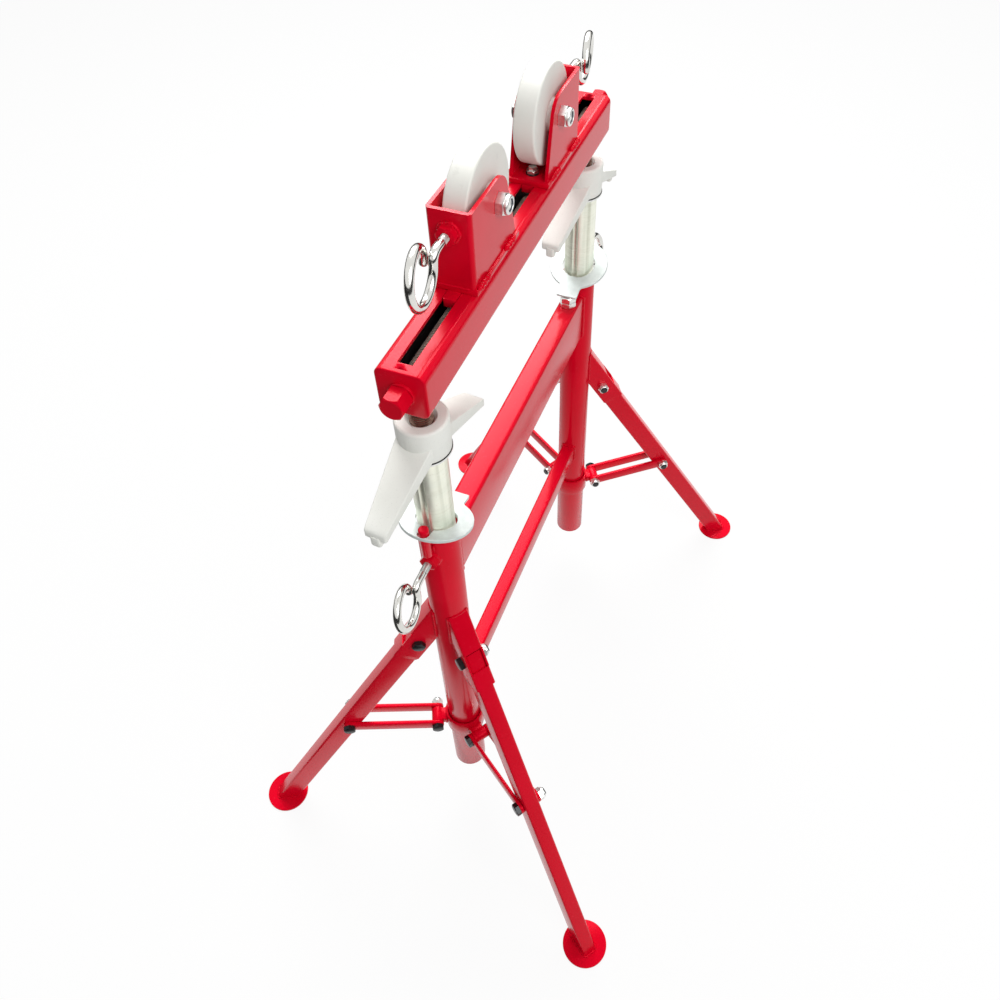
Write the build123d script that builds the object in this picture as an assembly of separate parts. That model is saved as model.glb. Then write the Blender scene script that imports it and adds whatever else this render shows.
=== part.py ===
"""Folding pipe jack stand: two steel columns joined by crossbars, a pair of folding legs on
each column, two lifting tubes under one beam, and two wheel carriages on the beam that a
left- and right-hand lead screw moves apart or together.

Millimetres, +Z up.  The origin lies on the floor midway between the two columns.  X runs
along the beam: the near end is at -X, the far end at +X.  Left is +Y.  Pieces of one end
are drawn for an outboard direction of +X and then turned to their own end.
"""
import os
from math import atan, atan2, cos, degrees, radians, sin, sqrt, tan

from build123d import *

# Overall arrangement
column_spacing = 500.0            # between the two column axes
leg_spread = 60.0                 # degrees of each leg from the outboard direction
heading = {"near": 180.0, "far": 0.0}    # degrees from +X to each end's outboard direction
legs = {"near_left": ("near", -1), "near_right": ("near", 1),
        "far_left": ("far", 1), "far_right": ("far", -1)}
leg_turn = {"near_left": -3.9, "near_right": -4.9,    # degrees that each leg is turned
            "far_left": 1.7, "far_right": 1.7}        # as welded

# clearances
running = 0.1                     # radial, a shaft in its bore
side_gap = 0.3                    # between flat faces that slide past each other
overrun = 5.0                     # how far a cutting tool passes through

# columns
column_radius = 24.15
column_wall = 2.6
column_bottom = 101.0
column_top = 712.0

# crossbars
upper_bar_width, upper_bar_height, upper_bar_drop = 30.0, 80.0, 25.0   # below the columns' tops
lower_bar_width, lower_bar_height, lower_bar_top = 22.0, 34.0, 352.0
bar_wall = 2.5
upper_bar_corner, lower_bar_corner = 4.5, 3.5

# legs, folded about a bolt in a channel bracket
leg_width, leg_depth, leg_wall, leg_corner = 22.0, 31.0, 2.0, 3.0
leg_pivot_radius, leg_pivot_height = 45.6, 481.0
leg_above_pivot = 14.5
foot_circle_radius = 318.6
foot_radius, foot_thickness = 33.2, 4.0
sleeve_radius = 8.0

# channel brackets, measured along the leg from its pivot
bracket_wall = 2.5
bracket_up, bracket_down = 78.5, 40.0
window_up, window_down = 17.5, 12.3
bracket_corner = 3.0

# collars, with a barrel lug for each leg's links
collar_wall, collar_gap = 3.85, 0.4
collar_top, collar_height = 256.4, 35.0
lug_radius, lug_pivot_radius, lug_drop = 9.0, 41.7, 17.9       # below the collar's top
lug_web_height = 13.0
collar_corner = 1.5

# links
link_bolt_distance = 255.3        # along the leg, from its pivot
strap_width, strap_thickness = 18.0, 5.0

# fasteners of the legs and links
bolt_radius, bolt_flats, bolt_head = 5.0, 16.0, 6.4
nut_height, nut_flats = 9.5, 16.0
bolt_end = 1.5                    # how far a bolt's end stands out of its nut
head_chamfer = 0.8

# lifting tubes
lift_tube_radius, lift_tube_wall = 21.2, 3.2
lift_tube_bottom = 330.0
groove_radius, groove_depth = 3.6, 2.2
washer_radius, washer_thickness = 28.0, 3.0

# wing nuts
hub_radius, hub_bottom, hub_height = 28.0, 850.9, 43.4
hub_dish_radius, hub_dish_depth, hub_rim_fillet = 20.0, 5.0, 3.0
wing_reach, wing_turn = 107.0, -4.5
wing_root_width, wing_root_height, wing_root_drop = 44.0, 21.0, 10.3   # at the hub's axis,
wing_tip_width, wing_tip_height, wing_tip_drop = 24.0, 10.0, 68.3      # below the hub's top
wing_root_corner, wing_tip_corner = 4.0, 3.0
peg_width, peg_length, peg_height = 12.0, 9.0, 7.0

# lift screws, welded under the beam
lift_screw_radius, lift_screw_length = 12.4, 205.0
lift_screw_bare = 28.7            # between the hub's top and the beam
lift_boss_radius, lift_boss_height = 17.0, 6.0

# beam
beam_size, beam_wall, beam_corner = 52.2, 4.0, 7.0
beam_half_length = 278.0
cap_thickness = 5.0
slot_half_width, slot_half_length = 7.7, 264.7
cap_boss_radius, cap_boss_height = 17.0, 2.5

# lead screw
lead_radius = 10.0
hex_flats, hex_length, hex_chamfer = 24.0, 19.5, 1.5
hex_stand = {"near": 0.0, "far": 17.0}        # how far each hexagon stands off its cap
bush_radius = 13.0

# carriages
axle_place, axle_rise = 90.0, 58.5           # from the beam's middle; above the base plate
carriage_width, carriage_wall, carriage_bend = 46.0, 4.0, 6.0
back_place, front_place, front_top_place = 155.0, 48.5, 71.0
carriage_rise, ear_radius = 84.0, 24.5       # the bracket's height above the base plate
base_thickness, base_width, base_front, base_back = 6.0, 51.0, 45.2, 155.5
base_chamfer = 0.8
glide = 0.3                                  # between the base and the beam
tongue_gap, tongue_out, tongue_corner = 0.6, 14.0, 2.5
lead_nut_length, lead_nut_width, lead_nut_height = 76.0, 34.0, 34.0
base_screw_place, base_screw_radius, base_screw_flats, base_screw_head = 27.7, 4.0, 13.0, 5.3

# wheels
wheel_radius, wheel_width, wheel_edge = 54.8, 25.0, 3.0
wheel_boss_radius, bush_wall = 17.0, 3.0
axle_radius, axle_flats, axle_head, axle_nut = 6.0, 19.0, 8.0, 12.0

# eye bolts: wheel brakes and column clamps
rod_radius, eye_drop = 4.7, 8.5   # the eye hangs below its shank
brake_eye_radius, clamp_eye_radius = 26.3, 22.8
eye_round, eye_step = 360.0, 30.0 # degrees that the rod goes round the eye
eye_skew, eye_lead = 8.0, 10.0    # degrees off the shank's plane, sideways rise of one turn
brake_eye_turn = 0.0                # degrees that the eyes are turned at rest
clamp_eye_turn = {"near": 7.5, "far": 165.0}
weld_nut_flats, weld_nut_height = 19.0, 9.0
brake_rise = 3.0                                # above the axle
brake_eye_place = {"near": 217.3, "far": 242.3}
brake_tip_gap = {"near": 1.2, "far": 4.2}       # from the bolt's tip to the tread
clamp_drop, clamp_eye_place = 29.0, 89.4     # below the column's top
clamp_tip_gap = 0.4

# lock plates, tilted so that they grip the lifting tube
plate_radius, plate_thickness, plate_rise = 42.25, 4.0, 14.9   # above the column's top
plate_tilt = 18.5
plate_bore_radius, plate_bore_shift = 23.7, 0.3
tab_half_width, tab_reach, tab_fillet, tab_corner = 15.0, 56.0, 6.0, 2.0
pin_radius, pin_rise, pin_drop, pin_chamfer = 6.0, 8.0, 12.0, 2.0
pin_slot_gap, pin_travel = 0.8, 4.0
stop_place, stop_radius, stop_flats, stop_nut_height = 47.0, 6.0, 19.0, 9.0

# Worked out from the above
leg_angle = degrees(atan((foot_circle_radius - leg_pivot_radius) / leg_pivot_height))
leg_length = leg_pivot_height / cos(radians(leg_angle))
upper_bar_top = column_top - upper_bar_drop
lug_pivot_height = collar_top - lug_drop
hub_top = hub_bottom + hub_height
wing_root_top, wing_tip_top = hub_top - wing_root_drop, hub_top - wing_tip_drop
beam_top = hub_top + lift_screw_bare + beam_size
plate_height = column_top + plate_rise
clamp_height = column_top - clamp_drop
column_bore = column_radius - column_wall
collar_bore = column_radius + collar_gap
collar_radius = collar_bore + collar_wall
lift_tube_top = hub_bottom - side_gap - washer_thickness
lift_screw_bore = lift_screw_radius + running
beam_bottom = beam_top - beam_size
beam_axis = beam_top - beam_size / 2
base_bottom = beam_top + glide
base_top = base_bottom + base_thickness
axle_height = base_top + axle_rise
carriage_top = base_top + carriage_rise
brake_height = axle_height + brake_rise
pin_place = column_radius + pin_radius
link_bolt_radius = leg_pivot_radius + link_bolt_distance * sin(radians(leg_angle))
link_bolt_height = leg_pivot_height - link_bolt_distance * cos(radians(leg_angle))
link_run = link_bolt_radius - lug_pivot_radius
link_rise = link_bolt_height - lug_pivot_height
link_length = sqrt(link_run ** 2 + link_rise ** 2)
link_angle = degrees(atan2(link_rise, link_run))
strap_place = leg_width / 2 + side_gap + strap_thickness / 2
grip_links = leg_width + 2 * (side_gap + strap_thickness)
bracket_width = leg_width + 2 * (side_gap + bracket_wall)
web_inside = leg_depth / 2 + side_gap

UPRIGHT = (Align.CENTER, Align.CENTER, Align.MIN)


# Shared shapes
def rod(radius, length, bottom=0):
    """A round bar standing on the height `bottom`."""
    return Pos(0, 0, bottom) * Cylinder(radius, length, align=UPRIGHT)


def pipe(outer, inner, length, bottom=0):
    """A round tube standing on the height `bottom`."""
    return rod(outer, length, bottom) - rod(inner, length + 2 * overrun, bottom - overrun)


def hexagon(flats, height, bottom=0):
    """A hexagonal prism, with a flat towards +X and -X."""
    outline = RegularPolygon(flats / 2, 6, major_radius=False, rotation=30)
    return Pos(0, 0, bottom) * extrude(outline, height)


def head(flats, height, corner_cut, bottom=0):
    """A bolt head: a hexagon whose top corners are turned off by a cone."""
    corner = flats / 2 / cos(radians(30))
    turned = Pos(0, 0, bottom) * Cylinder(corner, height, align=UPRIGHT)
    top = turned.edges().filter_by(GeomType.CIRCLE).sort_by(Axis.Z)[-1]
    return hexagon(flats, height, bottom) & chamfer(top, corner_cut)


def bolt(radius, flats, head_height, grip, nut):
    """A bolt along Z centred on its grip, with its head below and its nut above."""
    shank = rod(radius, grip + nut + bolt_end, -grip / 2)
    below = Pos(0, 0, -grip / 2) * Rot(180, 0, 0) * head(flats, head_height, head_chamfer)
    above = head(flats, nut, head_chamfer, grip / 2) - rod(radius, nut + 2 * overrun, grip / 2 - overrun)
    return below + shank, above


def box_tube(width, height, length, wall, corner):
    """A rectangular tube along Z, `width` in X and `height` in Y, centred on its length."""
    outer = RectangleRounded(width, height, corner)
    inner = RectangleRounded(width - 2 * wall, height - 2 * wall, corner - wall)\
        if corner > wall else Rectangle(width - 2 * wall, height - 2 * wall)
    return Pos(0, 0, -length / 2) * extrude(outer - inner, length)


def eye_bolt(eye_radius, shank, turn):
    """An eye bolt along X, its shank's axis through the origin and its tip at -X.

    One rod runs in along X, bends down, goes round the eye and stops beside its own bend:
    the eye is wound sideways by a little more than the rod's thickness in each turn."""
    neck = eye_radius + eye_drop
    half = eye_drop * sqrt(1 / 2)
    path = Line((-shank, 0, 0), (-neck, 0, 0))
    path += ThreePointArc((-neck, 0, 0), (half - neck, 0, half - eye_drop),
                          (-eye_radius, 0, -eye_drop))
    points = []
    for step in range(round(eye_round / eye_step) + 1):
        angle = radians(step * eye_step)
        out = eye_radius * (1 - cos(angle))
        side = out * sin(radians(eye_skew)) - eye_lead * angle / radians(360)
        points.append((out * cos(radians(eye_skew)) - eye_radius, side,
                       -eye_drop - eye_radius * sin(angle)))
    path += Spline(*points)
    section = Plane(origin=(-shank, 0, 0), z_dir=(1, 0, 0)) * Circle(rod_radius)
    return Rot(turn, 0, 0) * sweep(section, path=path)


# Placing
def at_end(end):
    """From the drawing of one end to that end's column, with the floor at zero."""
    side = cos(radians(heading[end]))
    return Pos(side * column_spacing / 2, 0, 0) * Rot(0, 0, heading[end])


def at_beam_end(end):
    """From the drawing of one end to the beam, with the beam's middle at zero."""
    return Rot(0, 0, heading[end])


def at_leg(leg):
    """From a leg's upright plane, with +X away from the column's axis, to its place."""
    end, side = legs[leg]
    column = Pos(cos(radians(heading[end])) * column_spacing / 2, 0, 0)
    return column * Rot(0, 0, heading[end] + side * leg_spread + leg_turn[leg])


def across(leg):
    """Turns a bolt along Z across a leg, with its head to the outboard side."""
    return Rot(-90 * legs[leg][1], 0, 0)


along_leg = Pos(leg_pivot_radius, 0, leg_pivot_height) * Rot(0, -leg_angle, 0)


# Base frame
def column():
    """A tube with a hole for the clamp bolt on its outboard side."""
    tube = pipe(column_radius, column_bore, column_top - column_bottom, column_bottom)
    hole = Pos(0, 0, clamp_height) * Rot(0, 90, 0) * rod(rod_radius + running,
                                                         column_radius + overrun)
    return tube - hole


def crossbar(width, height, top, corner):
    """A rectangular tube between the columns, its ends coped to them."""
    bar = box_tube(height, width, column_spacing, bar_wall, corner)
    bar = Pos(0, 0, top - height / 2) * Rot(0, 90, 0) * bar
    for end in heading:
        bar -= at_end(end) * rod(column_radius, column_top)
    return bar


def upper_crossbar():
    """The upper crossbar, drilled on top for the two stop bolts."""
    bar = crossbar(upper_bar_width, upper_bar_height, upper_bar_top, upper_bar_corner)
    for end in heading:
        bar -= at_end(end) * Pos(-stop_place, 0, 0) * rod(
            stop_radius + running, 2 * overrun, upper_bar_top - overrun)
    return bar


def leg_bracket(leg):
    """A channel along the leg, open to the column, that the leg hangs in.

    Its web has a window at the pivot, where the leg's upper end swings out on folding, and
    the strap below the window stops the open leg."""
    back = leg_depth / 2 + side_gap
    web = web_inside + bracket_wall
    length = bracket_up + bracket_down
    lift = bracket_up - length / 2
    outer = Pos((web - back) / 2, 0, lift) * Box(web + back, bracket_width, length)
    bends = outer.edges().filter_by(Axis.Z).sort_by(Axis.X)[-2:]
    outer = fillet(bends, bracket_corner)
    toe = outer.edges().filter_by(Axis.Y).filter_by_position(Axis.Z, -bracket_down - overrun,
                                                             -bracket_down + overrun)
    outer = fillet(toe.sort_by(Axis.X)[0], bracket_corner)
    hollow = Pos((web_inside - back - overrun) / 2, 0, lift) * Box(
        web_inside + back + overrun, leg_width + 2 * side_gap, length + 2 * overrun)
    window = Pos(web, 0, (window_up - window_down) / 2) * Box(
        2 * overrun, leg_width + 2 * side_gap, window_up + window_down)
    bore = Rot(90, 0, 0) * Cylinder(bolt_radius + running, bracket_width + 2 * overrun)
    channel = along_leg * (outer - hollow - window - bore)
    return at_leg(leg) * (channel - rod(column_radius, column_top))


def clamp_weld_nut(end):
    """The nut welded on the column that the clamp bolt runs in."""
    length = weld_nut_height + column_radius
    nut = hexagon(weld_nut_flats, length) - rod(rod_radius + running, length + overrun)
    nut = Pos(0, 0, clamp_height) * Rot(0, 90, 0) * nut
    return at_end(end) * (nut - rod(column_radius, column_top))


def guide_pin(end):
    """The pin welded beside the column's mouth, which the lock plate rides on."""
    top = plate_height + (pin_place + pin_radius) * tan(radians(plate_tilt)) + pin_rise
    bottom = column_top - pin_drop
    pin = Pos(pin_place, 0, 0) * rod(pin_radius, top - bottom, bottom)
    rim = pin.edges().filter_by(GeomType.CIRCLE).sort_by(Axis.Z)[-1]
    return at_end(end) * chamfer(rim, pin_chamfer)


def under_plate(inboard):
    """Height of the lock plate's lower face at a distance inboard of the column's axis."""
    slope = radians(plate_tilt)
    return plate_height - inboard * tan(slope) - plate_thickness / 2 / cos(slope)


def stop_bolt(end):
    """The bolt and locknut on the crossbar that carry the lock plate's tab."""
    top = under_plate(tab_reach) - side_gap
    head_height = top - upper_bar_top - stop_nut_height
    screw = rod(stop_radius, top - head_height - upper_bar_top + bar_wall + overrun,
                upper_bar_top - bar_wall - overrun)
    screw += head(stop_flats, head_height, head_chamfer, top - head_height)
    nut = hexagon(stop_flats, stop_nut_height, upper_bar_top)
    nut -= rod(stop_radius, stop_nut_height + 2 * overrun, upper_bar_top - overrun)
    place = at_end(end) * Pos(-stop_place, 0, 0)
    return [place * screw, place * nut]


def leg_pivot_bolt(leg):
    """The bolt and nut that a leg folds on."""
    pair = bolt(bolt_radius, bolt_flats, bolt_head, bracket_width, nut_height)
    return [at_leg(leg) * along_leg * across(leg) * piece for piece in pair]


# Legs, links and collars
def leg(name):
    """A rectangular tube cut level at its foot, with sleeves for its two bolts."""
    length = leg_length + leg_above_pivot + leg_depth
    middle = leg_above_pivot - length / 2
    tube = Pos(0, 0, middle) * box_tube(leg_depth, leg_width, length, leg_wall, leg_corner)
    for drop in (0, link_bolt_distance):
        tube += Pos(0, 0, -drop) * Rot(90, 0, 0) * Cylinder(sleeve_radius, leg_width)
    for drop in (0, link_bolt_distance):
        tube -= Pos(0, 0, -drop) * Rot(90, 0, 0) * Cylinder(bolt_radius + running,
                                                           leg_width + 2 * overrun)
    below = Pos(foot_circle_radius, 0, foot_thickness) * Box(
        2 * leg_length, 2 * leg_length, 2 * leg_length,
        align=(Align.CENTER, Align.CENTER, Align.MAX))
    return at_leg(name) * (along_leg * tube - below)


def foot(name):
    """The flat disc welded under a leg."""
    return at_leg(name) * Pos(foot_circle_radius, 0, 0) * rod(foot_radius, foot_thickness)


def collar(end):
    """A ring that slides on the column, with a barrel lug towards each of its legs."""
    ring = rod(collar_radius, collar_height, collar_top - collar_height)
    ring = fillet(ring.edges().filter_by(GeomType.CIRCLE), collar_corner)
    lug = Pos(lug_pivot_radius / 2, 0, lug_pivot_height) * Box(
        lug_pivot_radius, leg_width - lug_web_height / 2, lug_web_height)
    lug += Pos(lug_pivot_radius, 0, lug_pivot_height) * Rot(90, 0, 0) * Cylinder(
        lug_radius, leg_width)
    lug -= Pos(lug_pivot_radius, 0, lug_pivot_height) * Rot(90, 0, 0) * Cylinder(
        bolt_radius + running, leg_width + 2 * overrun)
    shape = at_end(end) * ring
    for name, (which, side) in legs.items():
        if which == end:
            shape += at_leg(name) * lug
    return shape - at_end(end) * rod(collar_bore, column_top)


def collar_bolts(end):
    """The bolt and nut in each lug of a collar."""
    pair = bolt(bolt_radius, bolt_flats, bolt_head, grip_links, nut_height)
    centre = Pos(lug_pivot_radius, 0, lug_pivot_height)
    return [at_leg(name) * centre * across(name) * piece
            for name, (which, side) in legs.items() if which == end for piece in pair]


def link(name):
    """Two straps, one on each side of the leg, from the collar's lug to the leg's bolt."""
    outline = SlotCenterToCenter(link_length, strap_width)
    for end_x in (-link_length / 2, link_length / 2):
        outline -= Pos(end_x, 0, 0) * Circle(bolt_radius + running)
    strap = Pos(link_length / 2, 0, 0) * extrude(outline, strap_thickness / 2, both=True)
    place = Pos(lug_pivot_radius, 0, lug_pivot_height) * Rot(0, -link_angle, 0) * Rot(90, 0, 0)
    return [at_leg(name) * Pos(0, side * strap_place, 0) * place * strap for side in (-1, 1)]


def link_bolt(name):
    """The head end and the nut end of the bolt through the leg.

    The shank inside the leg is left out, so the straps are free of the leg as it folds."""
    screw, nut = bolt(bolt_radius, bolt_flats, bolt_head, grip_links, nut_height)
    inside = leg_width + 2 * side_gap
    screw -= Box(bolt_flats, bolt_flats, inside)
    centre = Pos(link_bolt_radius, 0, link_bolt_height)
    return [at_leg(name) * centre * across(name) * piece
            for piece in list(screw.solids()) + [nut]]


# Lifting gear
def lift_tube(end):
    """The sliding tube, with a groove down each of two sides for the clamp bolt's tip."""
    length = lift_tube_top - lift_tube_bottom
    tube = pipe(lift_tube_radius, lift_tube_radius - lift_tube_wall, length, lift_tube_bottom)
    centre = lift_tube_radius + groove_radius - groove_depth
    for side in (-1, 1):
        tube -= Pos(side * centre, 0, 0) * rod(groove_radius, length + 2 * overrun,
                                               lift_tube_bottom - overrun)
    return at_end(end) * tube


def thrust_washer(end):
    """The washer between a lifting tube and its wing nut."""
    bore = lift_screw_radius + side_gap
    return at_end(end) * pipe(washer_radius, bore, washer_thickness, lift_tube_top)


def wing_section(along, top, width, height, corner):
    """One upright section of a wing, at a distance from the hub's axis."""
    plane = Plane(origin=(along, 0, top - height / 2), x_dir=(0, 1, 0), z_dir=(1, 0, 0))
    return plane * RectangleRounded(width, height, corner)


def wing_nut(end):
    """A cast nut: a thick hub with a dished top, and two wings that droop outwards."""
    hub = rod(hub_radius, hub_top - hub_bottom, hub_bottom)
    hub = fillet(hub.edges().filter_by(GeomType.CIRCLE).sort_by(Axis.Z)[-1], hub_rim_fillet)
    root = wing_section(0, wing_root_top, wing_root_width, wing_root_height, wing_root_corner)
    tip = wing_section(wing_reach, wing_tip_top, wing_tip_width, wing_tip_height,
                       wing_tip_corner)
    wing = loft([root, tip])
    peg_centre = wing_reach - peg_length
    wing += Pos(peg_centre, 0, wing_tip_top - wing_tip_height) * Box(
        peg_length, peg_width, 2 * peg_height)
    nut = hub
    for turn in (0, 180):
        nut += Rot(0, 0, turn) * wing
    nut -= Pos(0, 0, hub_bottom - hub_top) * rod(3 * hub_radius, hub_top - hub_bottom, hub_bottom)\
        & rod(hub_radius, hub_top)
    dish = Pos(0, 0, hub_top) * Cone(lift_screw_radius, hub_dish_radius, 2 * hub_dish_depth)
    nut -= dish + rod(lift_screw_bore, hub_top, hub_bottom - overrun)
    return at_end(end) * Rot(0, 0, wing_turn) * nut


def lift_screw(end):
    """The screw under the beam, with the boss that it is welded by."""
    screw = rod(lift_screw_radius, lift_screw_length, beam_bottom - lift_screw_length)
    boss = rod(lift_boss_radius, lift_boss_height, beam_bottom - lift_boss_height)
    return at_end(end) * (screw + boss)


# Beam and lead screw
def beam():
    """The square tube that carries both carriages, with one long slot on top."""
    length = 2 * (beam_half_length - cap_thickness)
    tube = box_tube(beam_size, beam_size, length, beam_wall, beam_corner)
    tube = Pos(0, 0, beam_axis) * Rot(0, 90, 0) * tube
    slot = Pos(0, 0, beam_top) * Box(2 * slot_half_length, 2 * slot_half_width, 2 * beam_wall
                                     + 2 * overrun)
    return tube - slot


def beam_cap(end):
    """An end plate of the beam, with a boss round the lead screw."""
    plate = extrude(RectangleRounded(beam_size, beam_size, beam_corner), cap_thickness)
    rim = plate.faces().sort_by(Axis.Z)[-1].edges()
    plate = chamfer(rim, cap_thickness / 4)
    plate += rod(cap_boss_radius, cap_thickness + cap_boss_height)
    plate -= rod(bush_radius, cap_thickness + cap_boss_height + 2 * overrun, -overrun)
    place = Pos(beam_half_length - cap_thickness, 0, beam_axis) * Rot(0, 90, 0)
    return at_beam_end(end) * place * plate


def screw_bush(end):
    """The bush in an end plate that the lead screw turns in."""
    bush = pipe(bush_radius, lead_radius + running, cap_thickness + cap_boss_height)
    place = Pos(beam_half_length - cap_thickness, 0, beam_axis) * Rot(0, 90, 0)
    return at_beam_end(end) * place * bush


def lead_screw():
    """A left- and right-hand screw along the beam with a hexagon for a spanner at each end."""
    shoulder = beam_half_length + cap_boss_height + side_gap
    drive = head(hex_flats, hex_length, hex_chamfer)
    screw = Pos(0, 0, beam_axis) * Rot(0, 90, 0) * Cylinder(lead_radius, 2 * shoulder)
    for end, stand in hex_stand.items():
        shaft = rod(lead_radius, shoulder + stand)
        hexed = shaft + Pos(0, 0, shoulder + stand) * drive
        screw += at_beam_end(end) * Pos(0, 0, beam_axis) * Rot(0, 90, 0) * hexed
    return screw


# Carriages
def carriage_bracket(end):
    """A sheet bent round three sides of the wheel, its cheeks rounded off in front."""
    side = Polyline((back_place, base_top), (front_place, base_top),
                    (front_top_place, carriage_top), (back_place, carriage_top), close=True)
    cheek = make_face(Rot(90, 0, 0) * side)
    block = extrude(cheek, carriage_width / 2, both=True)
    ear = block.edges().filter_by(Axis.Y).group_by(Axis.Z)[-1].sort_by(Axis.X)[0]
    block = fillet(ear, ear_radius)
    bends = block.edges().filter_by(Axis.Z).group_by(Axis.X)[-1]
    block = fillet(bends, carriage_bend)
    inside = carriage_width - 2 * carriage_wall
    height = carriage_top - base_top
    room = Pos(back_place - carriage_wall, 0, base_top + height / 2) * Box(
        back_place, inside, height + 2 * overrun, align=(Align.MAX, Align.CENTER, Align.CENTER))
    room = fillet(room.edges().filter_by(Axis.Z).sort_by(Axis.X)[-2:],
                  carriage_bend - carriage_wall)
    shape = block - room
    shape -= Pos(axle_place, 0, axle_height) * Rot(90, 0, 0) * Cylinder(
        axle_radius + running, carriage_width + 2 * overrun)
    shape -= Pos(back_place, 0, brake_height) * Rot(0, 90, 0) * Cylinder(
        rod_radius + running, 2 * carriage_wall + 2 * overrun)
    return at_beam_end(end) * shape


def carriage_base(end):
    """The plate under the bracket, and the tongue under it that runs in the beam's slot."""
    plate = Pos((base_front + base_back) / 2, 0, base_bottom) * Box(
        base_back - base_front, base_width, base_thickness, align=UPRIGHT)
    plate = chamfer(plate.faces().sort_by(Axis.Z)[-1].edges(), base_chamfer)
    floor = beam_axis + lead_nut_height / 2
    reach = back_place + tongue_out
    tongue = Pos((base_front + reach) / 2, 0, floor) * Box(
        reach - base_front, 2 * (slot_half_width - tongue_gap), base_bottom - floor, align=UPRIGHT)
    nose = tongue.edges().filter_by(Axis.Z).sort_by(Axis.X)[-2:]
    plate += fillet(nose, tongue_corner)
    for side in (-1, 1):
        plate -= Pos(axle_place + side * base_screw_place, 0, 0) * rod(
            base_screw_radius + running, base_top)
    return at_beam_end(end) * plate


def lead_nut(end):
    """The nut block on the lead screw, with the two screws that hold it to the base."""
    block = Pos(axle_place, 0, beam_axis) * Box(lead_nut_length, lead_nut_width,
                                                lead_nut_height)
    block -= Pos(axle_place, 0, beam_axis) * Rot(0, 90, 0) * Cylinder(
        lead_radius + running, lead_nut_length + 2 * overrun)
    depth = beam_axis + lead_radius + side_gap + running
    pieces = []
    for side in (-1, 1):
        place = Pos(axle_place + side * base_screw_place, 0, 0)
        screw = rod(base_screw_radius, base_top - depth, depth)
        block -= place * screw
        screw += head(base_screw_flats, base_screw_head, head_chamfer, base_top)
        pieces.append(at_beam_end(end) * place * screw)
    return [at_beam_end(end) * block] + pieces


def brake_weld_nut(end):
    """The nut welded on the bracket's back that the brake bolt runs in."""
    nut = hexagon(weld_nut_flats, weld_nut_height)
    nut -= rod(rod_radius + running, weld_nut_height + 2 * overrun, -overrun)
    return at_beam_end(end) * Pos(back_place, 0, brake_height) * Rot(0, 90, 0) * nut


def axle(end):
    """The bolt that the wheel turns on, and its nut."""
    turn = 90 if end == "near" else -90
    pair = bolt(axle_radius, axle_flats, axle_head, carriage_width, axle_nut)
    place = at_beam_end(end) * Pos(axle_place, 0, axle_height)
    return [place * Rot(-turn, 0, 0) * piece for piece in pair]


def wheel(end):
    """A solid wheel with rounded edges and a boss on each side."""
    tread = Cylinder(wheel_radius, wheel_width)
    tread = fillet(tread.edges().filter_by(GeomType.CIRCLE), wheel_edge)
    boss = Cylinder(wheel_boss_radius, carriage_width - 2 * carriage_wall - 2 * side_gap)
    bore = Cylinder(axle_radius + running + bush_wall, carriage_width)
    return at_beam_end(end) * Pos(axle_place, 0, axle_height) * Rot(90, 0, 0) * (
        tread + boss - bore)


def wheel_bush(end):
    """The bush pressed into a wheel."""
    length = carriage_width - 2 * carriage_wall - 2 * side_gap
    bush = pipe(axle_radius + running + bush_wall, axle_radius + running, length, -length / 2)
    return at_beam_end(end) * Pos(axle_place, 0, axle_height) * Rot(90, 0, 0) * bush


def brake_eye(end):
    """The eye bolt that is screwed in against the wheel's tread."""
    drop = brake_height - axle_height
    tread = axle_place + sqrt(wheel_radius ** 2 - drop ** 2)
    shank = brake_eye_place[end] - tread - brake_tip_gap[end]
    return at_beam_end(end) * Pos(brake_eye_place[end], 0, brake_height) * eye_bolt(
        brake_eye_radius, shank, brake_eye_turn)


def clamp_eye(end):
    """The eye bolt that is screwed in against the lifting tube."""
    shank = clamp_eye_place - lift_tube_radius - clamp_tip_gap
    return at_end(end) * Pos(clamp_eye_place, 0, clamp_height) * eye_bolt(
        clamp_eye_radius, shank, clamp_eye_turn[end])


def lock_plate(end):
    """A disc with a tab, bored to grip the lifting tube when it is tilted."""
    slope = cos(radians(plate_tilt))
    tab_end = tab_reach / slope
    disc = Circle(plate_radius)
    tab = Pos(-tab_end / 2, 0, 0) * Rectangle(tab_end, 2 * tab_half_width)
    outline = disc + tab
    corners = outline.vertices().sort_by(Axis.X)
    outline = fillet(corners[:2], tab_corner)
    necks = outline.vertices().filter_by_position(Axis.X, -plate_radius, -tab_half_width)
    outline = fillet([v for v in necks if abs(abs(v.Y) - tab_half_width) < tab_corner / 2],
                     tab_fillet)
    outline -= Pos(-plate_bore_shift / slope, 0, 0) * Circle(plate_bore_radius)
    slot = 2 * (pin_radius + pin_slot_gap)
    outline -= Pos((pin_place + pin_slot_gap) / slope, 0, 0) * SlotCenterToCenter(pin_travel,
                                                                                  slot)
    plate = extrude(outline, plate_thickness / 2, both=True)
    return at_end(end) * Pos(0, 0, plate_height) * Rot(0, -plate_tilt, 0) * plate


# Writing the pieces
def save(node, *pieces):
    """Write one node; a node of several separate solids is written as a group."""
    shape = pieces[0] if len(pieces) == 1 else Compound(children=list(pieces))
    export_step(shape, f"parts/{node}.step")


os.makedirs("parts", exist_ok=True)
ends = list(heading)

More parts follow.
